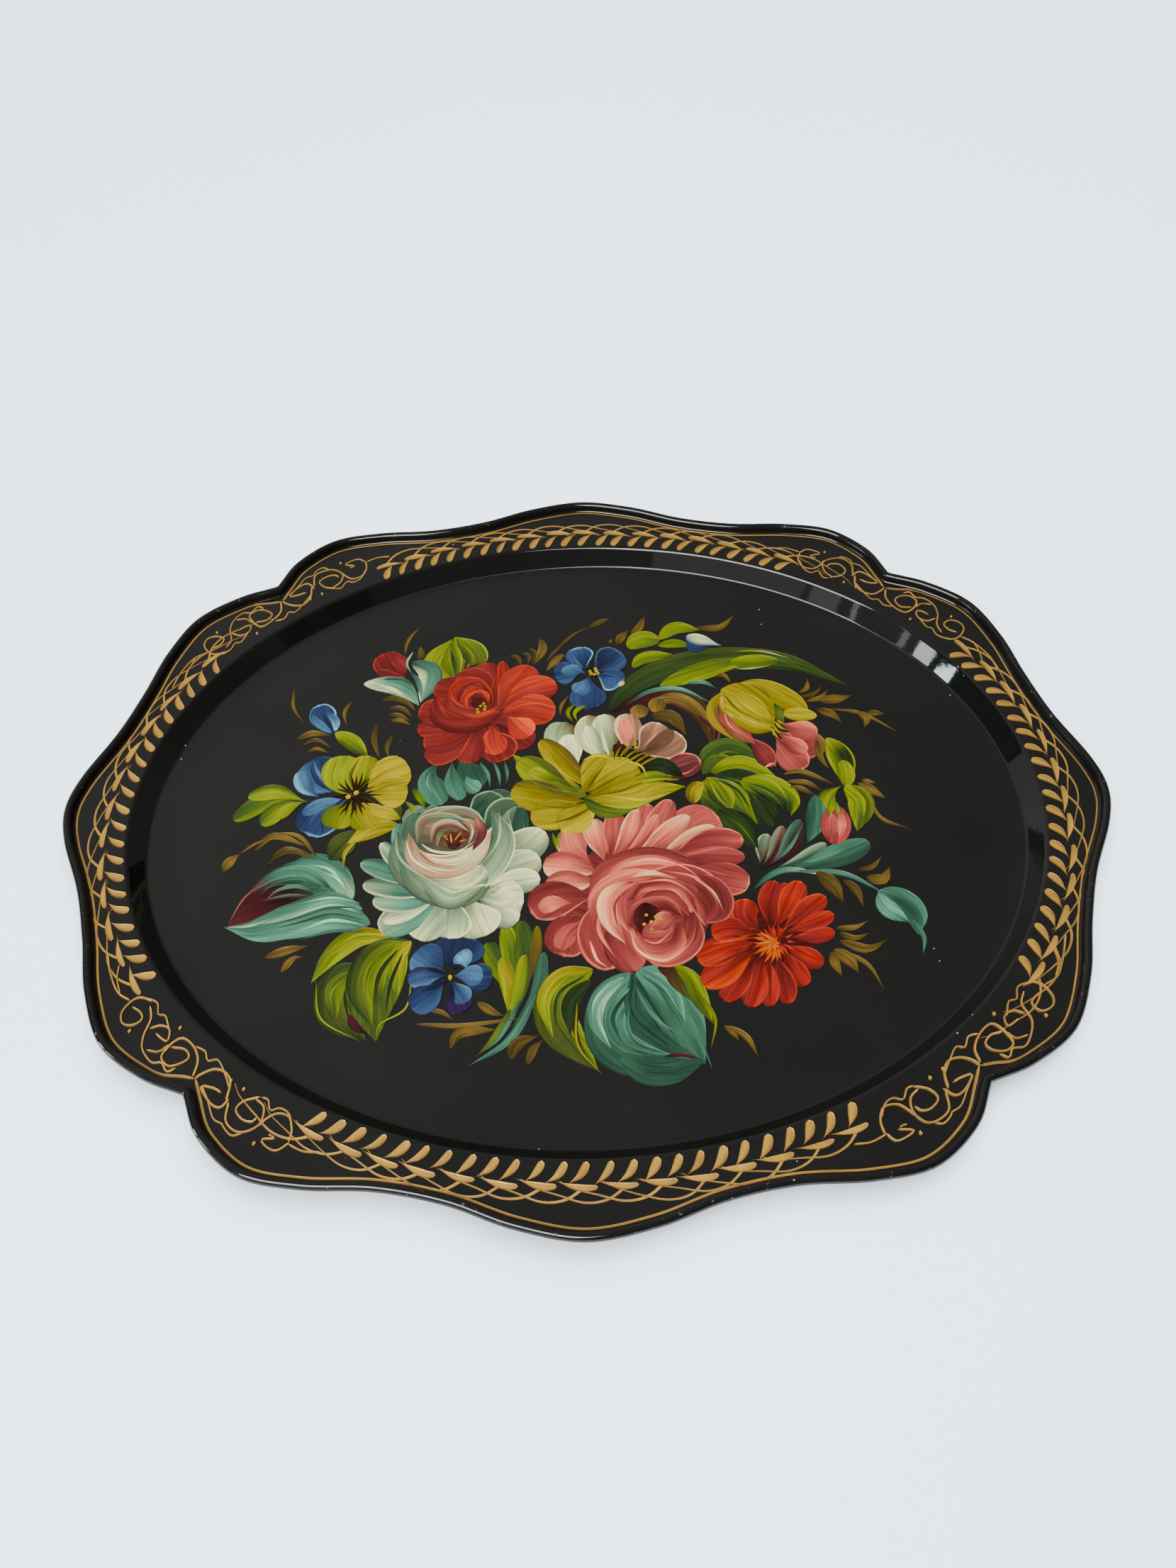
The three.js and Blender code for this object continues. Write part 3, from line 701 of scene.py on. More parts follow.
TEAL_LEAVES = [
    # the pair at the left
    ("leaf", "t3t3t2m2m2", 22, -99, -41, -113, -32, -132, -36, -152, -54),
    ("leaf", "t2m1m2m3", 17, -113, -44, -132, -42.5, -152, -54),
    ("leaf", "w4t5t4t3", "t5t3", 12, -100, -42, -108, -30, -119, -23, -131, -25),
    ("leaf", "t2t4t4t3m3", "t4--", 6, -110, -36, -122, -28, -134, -29, -145, -38),
    ("blade", "t2t4t3m3", 2.4, -114, -36, -124, -31, -134, -33, -141, -40),
    ("blade", "t2t4t4m3", 2, -117, -38, -125, -35, -133, -37, -138, -43),
    ("blade", "m3t3m3", 1.6, -119, -40, -128, -39.5, -140, -42),
    ("blade", "m3m5m5", 1, -136, -30, -146.5, -40, -152, -54),
    ("blade", "t4t6t5", 1.6, -103, -37, -111, -27, -122, -24),
    ("blade", "t5t6t4", 1.2, -102, -40, -107, -32, -116, -27),
    ("leaf", "t4t4t4t4t3", "t5t3", 18, -91, -54, -107, -49.5, -125, -52, -138, -56, -153, -54.5),
    ("leaf", "t4t5t4t4", "t5t3", 9, -95, -47, -108, -42, -124, -47, -146, -54),
    ("blade", "t5t6w4t4", 1.8, -95, -49, -108, -45, -122, -49, -136, -55),
    ("blade", "t5t6t5t3", 1.6, -92, -55, -108, -52, -122, -57, -134, -58),
    ("blade", "t4t6t4", 1.1, -96, -44, -109, -41, -124, -44),
    ("blade", "t2t3t2", 1.5, -98, -46, -110, -46, -124, -51, -136, -54),
    ("blade", "t3t2t2", 1.3, -94, -52, -108, -49, -122, -53, -134, -56),
    ("blade", "t3t4t3", 1.6, -93, -58, -106, -57, -120, -61),
    ("blade", "w3w4m4", 1.2, -152, -54.5, -142, -54, -132, -50),
    # below the red rose
    ("petal", "t2t4t4", "t3t4", 13, -67, 31, -71, 20, -64, 6),
    ("petal", "t2t2t3", 16, -58, 32, -53, 23, -49, 14),
    ("petal", "t2t3t4t4", "t3t4", 9, -61, 31, -60, 19, -55, 8.5),
    ("petal", "t4t5t5", "t5t4", 8, -54, 22, -52, 17, -47.5, 13),
    ("blade", "t2t5t4", 1.6, -70, 26, -72, 18, -67, 9),
    # sprig at the right
    ("petal", "m2w2w3", "W4m3", 7.5, 76, -29, 78, -21, 81, -13),
    ("petal", "m1m3d4", "w3m2", 7, 76, -31, 83, -22, 88, -9),
    ("petal", "m1m2t3", "t4m2", 8, 78, -31, 88, -22, 96, -6),
    ("blade", "m2t4t3", 2, 80, -29, 90, -20, 97, -8),
    ("petal", "t2t3w3", "w4t3", 6.5, 82, -31, 95, -26, 106, -18.5),
    ("petal", "t3t3t3", "t4t2", 12, 88, -31, 107, -26, 125, -18.5),
    ("leaf", "t4t4t3", 4, 96, -28, 108, -23, 119, -18),
    ("blade", "t2t4w4", 3, 72, -41, 82, -33, 92, -31.5, 104, -35),
    ("blade", "t3t4t3", 2.6, 92, -32, 112, -34, 128, -44),
    ("leaf", "t4t2t2t3", "t4t3", 13, 125, -43, 133, -47, 139, -54, 139, -64),
    ("leaf", "t4t5t3", "t5--", 8, 125, -44, 128, -51, 136, -58),
    ("blade", "t3t4t4", 2.2, 137.5, -57, 141, -65, 139.4, -73),
]

BIG_LEAVES = [
    # yellow and green group at the lower left
    ("leaf", "y4y4g4g3", "g5g3", 10, -82, -60, -96, -60.5, -106, -69, -113, -81),
    ("leaf", "g5g5g5", 3.6, -86, -60, -97, -61, -107, -69),
    ("leaf", "e3g2g2e2", "g3e2", 18, -92, -75, -101, -80, -101, -94, -88, -106.5),
    ("leaf", "e4g3e3", "g4--", 8, -95, -76, -103, -84, -101, -98),
    ("blade", "e2e2m2", 1.6, -92, -77, -98, -86, -95, -100),
    ("blade", "e3g4e3", 1.2, -96, -77, -104, -85, -102, -97),
    ("leaf", "e3e3e3g2", "g3e4", 24, -73, -63, -84, -72, -87, -88, -84, -107),
    ("leaf", "g4g3g3g2", "g4e2", 13, -76, -63, -88, -70, -92, -84, -86, -101),
    ("leaf", "y4y4g4g3", "g5g3", 9, -73, -62.5, -78, -70, -77, -88),
    ("leaf", "g4g4g2", 4, -76, -64, -83, -74, -84, -90),
    ("blade", "e2e2g2", 2, -78, -66, -85, -78, -86, -96),
    ("blade", "e2e2e3", 1.6, -76, -68, -80, -82, -81, -98),
    ("blade", "g3g4g3", 1.2, -80, -65, -90, -74, -91, -90),
    ("leaf", "m2m2m1", 4, -96, -95, -93, -100, -88, -104),
    ("blade", "g3g5g5", 0.8, -111, -80, -107, -97, -90, -107),
    ("blade", "g4g5g5", 0.8, -71.5, -80, -73, -93, -83, -100, -83, -107.5),
    # stem bunch
    ("petal", "e2e4e4", "g4e2", 10, -31, -92, -33, -80, -41, -64),
    ("petal", "e3e4g4", "g4e3", 11, -29, -92, -29, -72, -33, -55),
    ("petal", "e1e3e3", "g3--", 9, -28, -88, -25, -70, -27, -54),
    ("petal", "o2o3y2", 5, -25, -88, -21, -72, -20, -56.5),
    ("petal", "t2t3t3", 6, -31, -104, -20, -88, -17, -69),
    ("blade", "t3t4t4", 3.6, -20, -88, -30, -107, -46, -118),
    ("petal", "g3y4y4", "g5g3", 7.5, -30, -102, -31, -85, -34.5, -71),
    ("petal", "g3g4g4", "g5e3", 7, -32, -104, -27, -86, -25, -70),
    ("blade", "e3g3e2", 3.2, -30, -94, -36, -106, -44, -115),
    ("blade", "t2t4t3", 2, -26, -90, -34, -106, -40, -112),
    ("blade", "y5g5g4", 1.4, -33.5, -55, -30, -60, -29, -66),
    # yellow-green leaf at the bottom
    ("leaf", "g4g3g2g2", "g4g2", 18, 3, -77, -9, -85, -11, -101, 5, -121),
    ("leaf", "y4y4g5g3", "g5--", 6.5, 3, -77, -10, -79.5, -17, -91, -13, -107),
    ("leaf", "e2e2e2", 7, 2, -82, -6, -92, -6, -106),
    ("blade", "e2e3e2", 1.8, 0, -80, -11, -88, -12, -104),
    ("blade", "g3g4g3", 1.3, 1, -79, -11, -86, -14, -98),
    ("blade", "m2m2o3", 2, -2, -92, -4, -104, 1, -116),
    ("blade", "g4g5g5", 1, -3.4, -92, -3.2, -110, 6, -122),
    # big teal leaf at the bottom
    ("leaf", "t2t2t2t2", 32, 19, -79, 18, -98, 32, -111, 47, -118.5),
    ("leaf", "t4t4t3t3t2", "t4t2", 18, 18, -79, 9, -91, 10, -109, 26, -118, 46, -118),
    ("leaf", "t3t2t2t2", "t2t2", 13, 14, -114, 22, -120, 34, -121, 47, -117.5),
    ("leaf", "t5t5t4t3", "t6t4", 7, 16, -81, 6, -90, 4, -101, 10, -112),
    ("blade", "t5t4t3t3", 2.6, 18, -86, 10, -97, 12, -108, 22, -115),
    ("blade", "t5w4t4", 1.3, 15, -83, 7, -92, 7, -104),
    ("blade", "t5t6t4", 1.1, 12, -82, 4, -91, 2.5, -101),
    ("blade", "t2t4t3t2", 2, 19, -90, 14, -100, 16, -110, 30, -116),
    ("blade", "t3t4t3t2", 1.4, 18, -93, 17, -102, 21, -110, 34, -115),
    ("blade", "t1t2t2", 1.8, 17, -88, 11, -99, 15, -111),
    ("leaf", "t4t4t3t3t2", "t4t3", 21, 21, -78, 31, -85, 38, -99, 47, -118),
    ("leaf", "t4t4t3", "t5t3", 7, 24, -78, 34, -87, 40, -104),
    ("blade", "t3t2t2", 1.6, 23, -80, 34, -89, 41, -105),
    ("blade", "t4t5t4", 1.3, 22, -79, 32, -86, 40, -101),
    ("blade", "t2t2t2", 2, 21, -81, 27, -93, 36, -108),
    ("blade", "t4t4t3", 1.6, 20, -84, 26, -97, 38, -110),
    ("blade", "t2t2t1", 2.2, 20, -82, 20, -97, 33, -112),
    ("blade", "t3t5t3", 1.1, 23, -92, 30, -101, 40, -108),
    ("blade", "m2m3m2", 1.8, 31, -115.5, 38, -115, 46, -117),
    ("blade", "t3t4t4", 1.1, 45, -97, 46.5, -110, 49.5, -121),
    # small leaf right of it
    ("leaf", "m2o2g2", 9, 30, -77, 37, -80, 43, -92),
    ("leaf", "g4g4g3g3", "g5g2", 8, 37, -76, 43, -82, 46, -90, 51, -102),
    ("blade", "g3g4g4", 1.4, 46, -88, 52, -100, 49.5, -113),
]

RED_ROSE = [
    ("oval", "r2r2r2", 42, -72, 57, -46, 56, -20, 60),
    ("petal", "r1r3r3", "R4r2", 15, -43, 60, -45, 76, -48, 89),
    ("petal", "r1r3r4", "R5r2", 7, -41, 60, -38.5, 76, -39.5, 90),
    ("petal", "r2r4r4", "R5r3", 17.5, -42, 58, -33, 74, -24, 85.5),
    ("petal", "r2r4r4", "r5r2", 17, -40, 60, -27, 70, -12.5, 74),
    ("petal", "r1r2r2", "r3--", 15, -42, 52, -31, 44, -24, 38.5),
    ("petal", "r2r4r4", "r5R5", 18.5, -42, 55, -28, 60, -13.5, 56),
    ("blade", "r3r5r5", 1.2, -40, 57, -28, 62.5, -16, 62),
    ("blade", "r2r3r4", 1.6, -41, 58, -29, 68, -18, 70),
    ("petal", "r3r5r5", "r6r4", 13.5, -37, 56, -31, 50, -24.5, 44),
    ("petal", "r1r2r3", "R5--", 18, -46, 50, -41, 40, -36, 30),
    ("petal", "r2r4r5", "r4r5", 12.5, -43, 52, -42.5, 42, -39, 33.5),
    ("petal", "r1r3r3", "r2R4", 14, -48, 51, -52, 40, -54, 28.5),
    ("petal", "r1r3r3", "R5r2", 17, -49, 50, -62, 40, -72, 30),
    ("petal", "r2r3r3", "r2R5", 14, -50, 51, -62, 43, -75, 40),
    ("petal", "r1r3r3", "R4r2", 13, -50, 53, -65, 50, -78.5, 49),
    ("petal", "r1r3r3", "r2R5", 18, -48, 56, -64, 58, -78.5, 60),
    ("blade", "r2r2r3", 1.6, -54, 55, -64, 54, -74, 56),
    ("petal", "r1r2r3", "R4r2", 17, -47, 62, -56, 70, -72, 74),
    ("petal", "r1r3r3", "r4R4", 17, -46, 64, -50, 76, -62, 79),
    # the cup
    ("cup", "r2r3r3r2", "r3r1", 15, -71, 69, -67, 57, -54, 53, -38, 58),
    ("blade", "r4r5r6r5r4", 1.7, -70.5, 67, -66, 59.5, -57, 55, -46, 56.5, -37, 62),
    ("cup", "r2r3r3r2", "r2r3", 9, -66, 67, -62, 60, -54, 58, -46, 60),
    ("cup", "r3r4r3", "R5r2", 7, -61, 62, -62.5, 70, -57, 77, -48, 78),
    ("blade", "r3r5r4", 1.5, -58, 78.5, -50, 78, -44, 70, -43, 61),
    ("blade", "r3r5r5r3", 1.2, -64, 73, -62, 66, -57, 61.5, -50, 60),
    ("oval", "r1r1r1", 7.5, -50.5, 68, -49, 60),
    ("cup", "r4r5r4", "r3r5", 4.8, -55, 60, -57, 67, -52, 72, -46.5, 70),
    ("cup", "r4r5r3", 2.8, -51, 72, -46.5, 69, -45.5, 63),
    ("cup", "r2r4r5r4", 3, -60, 58, -52, 55.5, -45, 58, -40, 62),
]

DAISY = [
    ("oval", "a1a1a1", 34, 62, -68, 78, -67, 95, -65),
    ("petal", "a1a2a3", "a3a2", 13, 73, -60, 64, -52, 64, -46.5),
    ("petal", "a1a3a4", "A5a3", 12, 74, -62, 68, -54, 69, -45.5),
    ("petal", "a1a3a3", "A4a2", 10, 77, -60, 78, -48, 82, -37),
    ("petal", "a2a3a3", "a2a4", 9, 79, -60, 83, -48, 86, -38),
    ("petal", "a2a4a4", "A5a3", 11, 80, -60, 87, -48, 93, -37.5),
    ("petal", "a2a3a4", "A5a3", 10, 82, -61, 93, -52, 102.5, -45),
    ("petal", "a2a3a4", "a4a3", 8, 83, -62, 95, -58, 105, -53.5),
    ("petal", "a2a3a4", "A4a2", 7.5, 85, -64, 95, -64, 104.5, -62),
    ("petal", "a2a4a3", "a4a2", 9.5, 82, -67, 91, -73, 98, -77),
    ("petal", "a1a3a4", "a4a2", 9.5, 82, -69, 86, -79, 90.5, -86),
    ("petal", "a1a2a3", "A4a2", 9.5, 79, -71, 81, -83, 82, -94),
    ("petal", "a1a3a3", "a4a2", 9, 76, -72, 75, -84, 74, -95),
    ("petal", "a1a3a3", "a4a2", 11, 74, -72, 70, -84, 66, -95),
    ("petal", "a1a3a3", "A4a2", 11.5, 72, -71, 63, -82, 56, -92),
    ("petal", "a1a3a4", "a5a3", 13, 72, -69, 60, -77, 48, -85),
    ("petal", "a2a4a4", "A5a3", 13, 72, -66, 58, -69, 46.5, -74),
    ("petal", "a1a3a4", "A5a3", 12, 73, -63, 62, -60, 53, -62),
    ("blade", "a4a5a4", 1.5, 70, -64, 62, -65, 52, -67),
    ("blade", "a2a2a3", 1.3, 70, -68, 60, -73, 50, -78),
    ("blade", "a2a2a3", 1.3, 72, -73, 66, -83, 60, -90),
]

TULIP = [
    ("petal", "p2p3p4", "p5p3", 15, 90, 44, 99, 36, 106, 28),
    ("petal", "o3p3o3", "o4p3", 13, 96, 44, 105, 37, 108, 29),
    ("petal", "m3p3p2", "P4m3", 10, 76, 42, 82, 33, 86, 23),
    ("petal", "p3p4p4", "p5p3", 12, 92, 48, 101, 44, 109, 41),
    ("petal", "p3p4p3", "P5p4", 15, 89, 41, 95, 30, 100, 21),
    ("petal", "p3p4p5", "p5p3", 9, 91, 42, 97, 36, 103, 31),
    ("leaf", "y4o4p3p3", "p3y4", 12, 66, 67, 64, 54, 72, 38),
    ("leaf", "p3p4p3", "p3o4", 9, 69, 56, 71, 46, 80, 36),
    ("blade", "p3p5p4", 1.4, 66, 58, 68, 48, 76, 39),
    ("blade", "m3p4m3", 1.4, 64, 60, 65, 50, 71, 42),
    ("petal", "y3y4y4y4", "y4y3", 13, 66, 68, 82, 71, 97, 62, 105, 54),
    ("oval", "y4y5y5", "y5y4", 7.5, 94, 54, 103, 53, 110, 52),
    ("leaf", "e2g3g2", 6, 90, 60, 92, 53, 94, 48),
    ("leaf", "y4y4y4y3", "y3y5", 24, 66, 69, 75, 63, 83, 54, 89.5, 46),
    ("leaf", "y4y5y4", 9, 72, 66, 80, 60, 88, 50),
    ("leaf", "y4y4y3", "y5y2", 7, 70, 52, 79, 46, 90, 44),
    ("blade", "y2y3y2", 1.6, 67, 66, 74, 56, 86, 48),
    ("blade", "p5y4y3", 1.8, 66, 65, 66, 57, 70, 51),
    ("blade", "p6p5p4", 1.2, 83, 23, 87, 25, 88, 23),
    ("blade", "y5y4y3", 1.2, 89, 47, 91, 43, 95, 42),
    ("blade", "y5y4y3", 1.2, 90, 49, 92, 46, 95, 44),
    ("blade", "y5y4y3", 1.1, 91, 50, 93, 48, 95, 48),
    ("blade", "y4y4y3", 1.1, 88, 45, 89, 42, 91, 39),
]

PEONY = [
    ("oval", "d1e1d1", 22, 8, 24, 30, 26),
    ("petal", "w2o5w4", "w6o4", 13, -2, 24, -8, 38, -14, 48),
    ("petal", "o3w4o4", "w4o3", 17, -3, 26, -10, 42, -8, 51),
    ("petal", "w4w5w6", "w6w5", 12, -3, 22, -6, 34, -6.5, 44),
    ("petal", "w2w4o5", "w5o3", 15, 12, 27, 4, 40, 3, 55),
    ("petal", "w2w4w5", "w5o4", 14, 14, 28, 11, 40, 10, 55.5),
    ("petal", "w3w5w5", "w6w3", 8, 12, 28, 5, 38, 2, 49),
    ("blade", "w5w6w5", 1.6, 12, 30, 9, 42, 8, 53),
    ("petal", "d3d5d5", "d6d4", 13.5, 19, 31, 21, 42, 20, 55.5),
    ("petal", "p4p5p5", 7, 19, 34, 20, 43, 19, 52),
    ("petal", "d3d4d5", "D6d4", 15, 24, 32, 32, 41, 36, 49.5),
    ("petal", "d3d4d4", "d5D6", 16.5, 26, 31, 38, 36, 46, 42),
    ("petal", "d2d3d3", 8, 26, 31, 36, 39, 42, 45),
    ("blade", "d3d5d5", 1.5, 26, 34, 33, 42, 37, 47),
    ("petal", "m2m3m4", "P5m3", 14, 30, 20, 43, 24, 54, 27),
    ("petal", "d3m4m4", 6, 31, 22, 43, 26, 51, 29),
    ("blade", "p5p5m5", 1.2, 33, 19.5, 46, 20, 54, 26),
    ("oval", "d1m2d1", 6, 13, 35, 20, 35.5),
    ("leaf", "e1e2e1", 9, 26, 24, 36, 25, 46, 18),
    # yellow cup
    ("leaf", "g3g3g4", "g3y4", 13, 1, 9, -10, 14, -24, 24, -33, 33),
    ("petal", "y3y4y4y3", "y5o3", 12, 6, 10, -6, 24, -20, 41),
    ("leaf", "y2y3y4", "y4o4", 6, 4, 14, -8, 26, -18, 40),
    ("petal", "g2g4g5", "g5g2", 15, 0, 10, -14, 17, -30, 30),
    ("petal", "g3g5g6", 7, -12, 17, -20, 21, -25, 24),
    ("petal", "y2y3y4", "y4o3", 17, 2, 6, -14, 8, -33, 13),
    ("petal", "y2y4y4", "y5y3", 16, 6, 3, -8, 0, -24, -2),
    ("petal", "y3y4y5", "y6y3", 15, 8, 6, -2, -2, -11, -8),
    ("blade", "y2y2y3", 1.5, 2, 5, -10, 3, -24, 5),
    ("blade", "y2y2y3", 1.5, 4, 3, -6, -3, -17, -6),
    ("blade", "y2g3g4", 1.8, 0, 9, -14, 12, -28, 20),
    ("leaf", "e3g3g3", "g4--", 13, 0, 8, 12, 3, 24, 3),
    ("blade", "e2g3g4", 1.6, 3, 6, 12, 2, 22, 1),
    ("petal", "y2y4y4", "y5y3", 20, -2, 9, 6, 20, 14, 30),
    ("petal", "y2y4y5", "y5y3", 20, 2, 8, 12, 17, 24, 26),
    ("leaf", "g2g4g3", 8, 18, 12, 30, 18, 41, 18),
    ("petal", "y3y4y4y3", "y3y5", 13, 0, 8, 13, 7, 28, 17),
    ("leaf", "y3y4y4g4", "y5g5", 10, 4, 7, 20, 6, 34, 12, 46, 13),
    ("blade", "y2y2y3", 1.4, 1, 11, 6, 20, 11, 28),
    ("blade", "y2y2y3", 1.4, 2, 10, 14, 18, 23, 23),
    ("blade", "y2y2y2", 1.2, 2, 9, 16, 11, 30, 17),
    ("blade", "y5y5g5", 1.6, 12, 8, 28, 6, 44, 12),
    ("blade", "y6y6y5", 1.3, 0, 29, 8, 31, 16, 27),
    ("blade", "y5y6y5", 1.3, 17, 28, 26, 25, 29, 18),
    ("blade", "g5g6g5", 1.2, 20, 15, 32, 17, 43, 17),
]

PANSY = [
    ("petal", "b2b3b4", "b5b2", 22, -108, 14, -120, 22, -129, 30),
    ("petal", "b3b5b5", "b6b4", 9, -120, 11, -127, 17, -131, 26),
    ("petal", "b2b2b3", "b3b2", 13, -112, 14, -118, 24, -123, 33),
    ("blade", "b2b2b3", 2, -114, 14, -122, 20, -127, 30),
    ("blade", "b4b5b4", 1.8, -116, 16, -122, 24, -126, 33),
    ("petal", "b3b3b3", "B6b2", 21, -107, 10, -118, 2, -123, -9),
    ("petal", "b5b5b4", 7, -107, 9.6, -117, 8, -127, 2),
    ("blade", "b2b2b2", 3, -110, 8, -116, 0, -117, -9),
    ("blade", "b4b4b3", 1.6, -112, 8, -121, 1, -124, -6),
    ("petal", "g4g5g4", "g5y4", 20, -105, 10, -111, 22, -109, 34),
    ("petal", "y3g5y4", "y5g3", 15, -103, 13, -102, 22, -100, 34),
    ("petal", "y3g4y3", "g5g3", 16, -105, 9, -110, 0, -111, -6),
    ("petal", "y3y4y4", "y5g4", 17, -104, 9, -98, 1, -94, -5),
    ("leaf", "y4y5g4", 7, -97, 3, -90, 2, -82, -1.5),
    ("petal", "y3y5y5", "y5y4", 21, -100, 13, -90, 22, -80, 26),
    ("petal", "y3y5y5", "y4y5", 18, -99, 12, -90, 13, -80, 13),
    ("blade", "y3y3y4", 1.4, -98, 12, -89, 17, -81, 18),
    ("blade", "g3g3g4", 1.4, -106, 16, -107, 24, -104, 33),
]

BLUE_TOP = [
    ("petal", "b1b2b3", "B5b4", 17, 5, 81, 12, 88, 18.5, 94),
    ("petal", "b1b3b4", "b4B6", 14, 2, 83, -1, 90, -3, 97.5),
    ("petal", "b2b3b3", "b4b3", 14, 1, 82, -6, 82, -14, 80),
    ("petal", "b4b5b4", "b4b5", 9, 1, 81, -4, 83, -10, 80),
    ("petal", "b3b3b2", "b3b4", 18, 3, 79, 2, 70, 3, 59),
    ("petal", "b4b5b4", "b4b5", 10, 2, 78, 0, 73, -3, 68),
    ("petal", "b3b4b4", "b3B6", 14, 6, 80, 13, 77, 18, 73),
    ("blade", "b2b2b3", 1.3, 6, 81, 11, 79, 17, 78),
    ("blade", "b5b5b4", 1.1, 0, 84, -4, 90, -5, 95),
    ("oval", "w5p5", 2.6, 17, 73, 20, 75),
    ("oval", "b1m1b1", 6, 3, 81, 7.5, 82.5),
]

BLUE_LOW = [
    ("petal", "b1b2b2", "b2b2", 16, -54, -76, -56, -68, -59, -61),
    ("petal", "b1b2b2", "b2b3", 15, -54, -76, -50, -69, -47, -62),
    ("petal", "b5b6b5", "b5b5", 9, -49, -76, -50, -72, -53, -68.5),
    ("petal", "b2b3b2", "b3b2", 13, -53, -79, -46, -80, -38, -80),
    ("petal", "b4b5b5", "b5b4", 10, -54, -79, -48, -79, -42, -80),
    ("petal", "b1b4b4", "b5b3", 16, -57, -78, -64, -73, -71, -68),
    ("petal", "b1b4b4", "b5b2", 10, -57, -79, -65, -79, -73, -81),
    ("petal", "b1b3b3", "b4b2", 13, -57, -81, -64, -88, -71, -93),
    ("petal", "v1v2v2", 11, -54, -84, -52, -90, -50, -95.5),
    ("petal", "b1b4b4", "b5b4", 9, -55, -81, -51, -87, -48, -91),
    ("blade", "b1b1b2", 2.4, -57, -78, -62, -76, -68, -75),
    ("blade", "b1b1b2", 2.2, -57, -81, -62, -84, -68, -86),
    ("blade", "b1b1b2", 2, -55, -82, -54, -88, -53, -93),
    ("oval", "y6y5", 1.7, -55.7, -78.6, -55.5, -81),
]

PINK_BUD = [
    ("oval", "p3p3p3", "p4p3", 13.5, 113, 1, 111.5, -8, 110, -19),
    ("leaf", "p4p4p3", 6, 110, -3, 109.5, -10, 107, -17),
    ("leaf", "p3p5p4", 4, 114, -1, 114, -9, 112, -17),
    ("blade", "p5p4p3", 1.3, 111, 0, 108, -8, 108, -16),
    ("blade", "g4g5e3", 2.6, 113, 3, 110, -1, 108.5, -5),
    ("blade", "g3g4e3", 2, 113, 3, 113, -2, 112.5, -6),
]

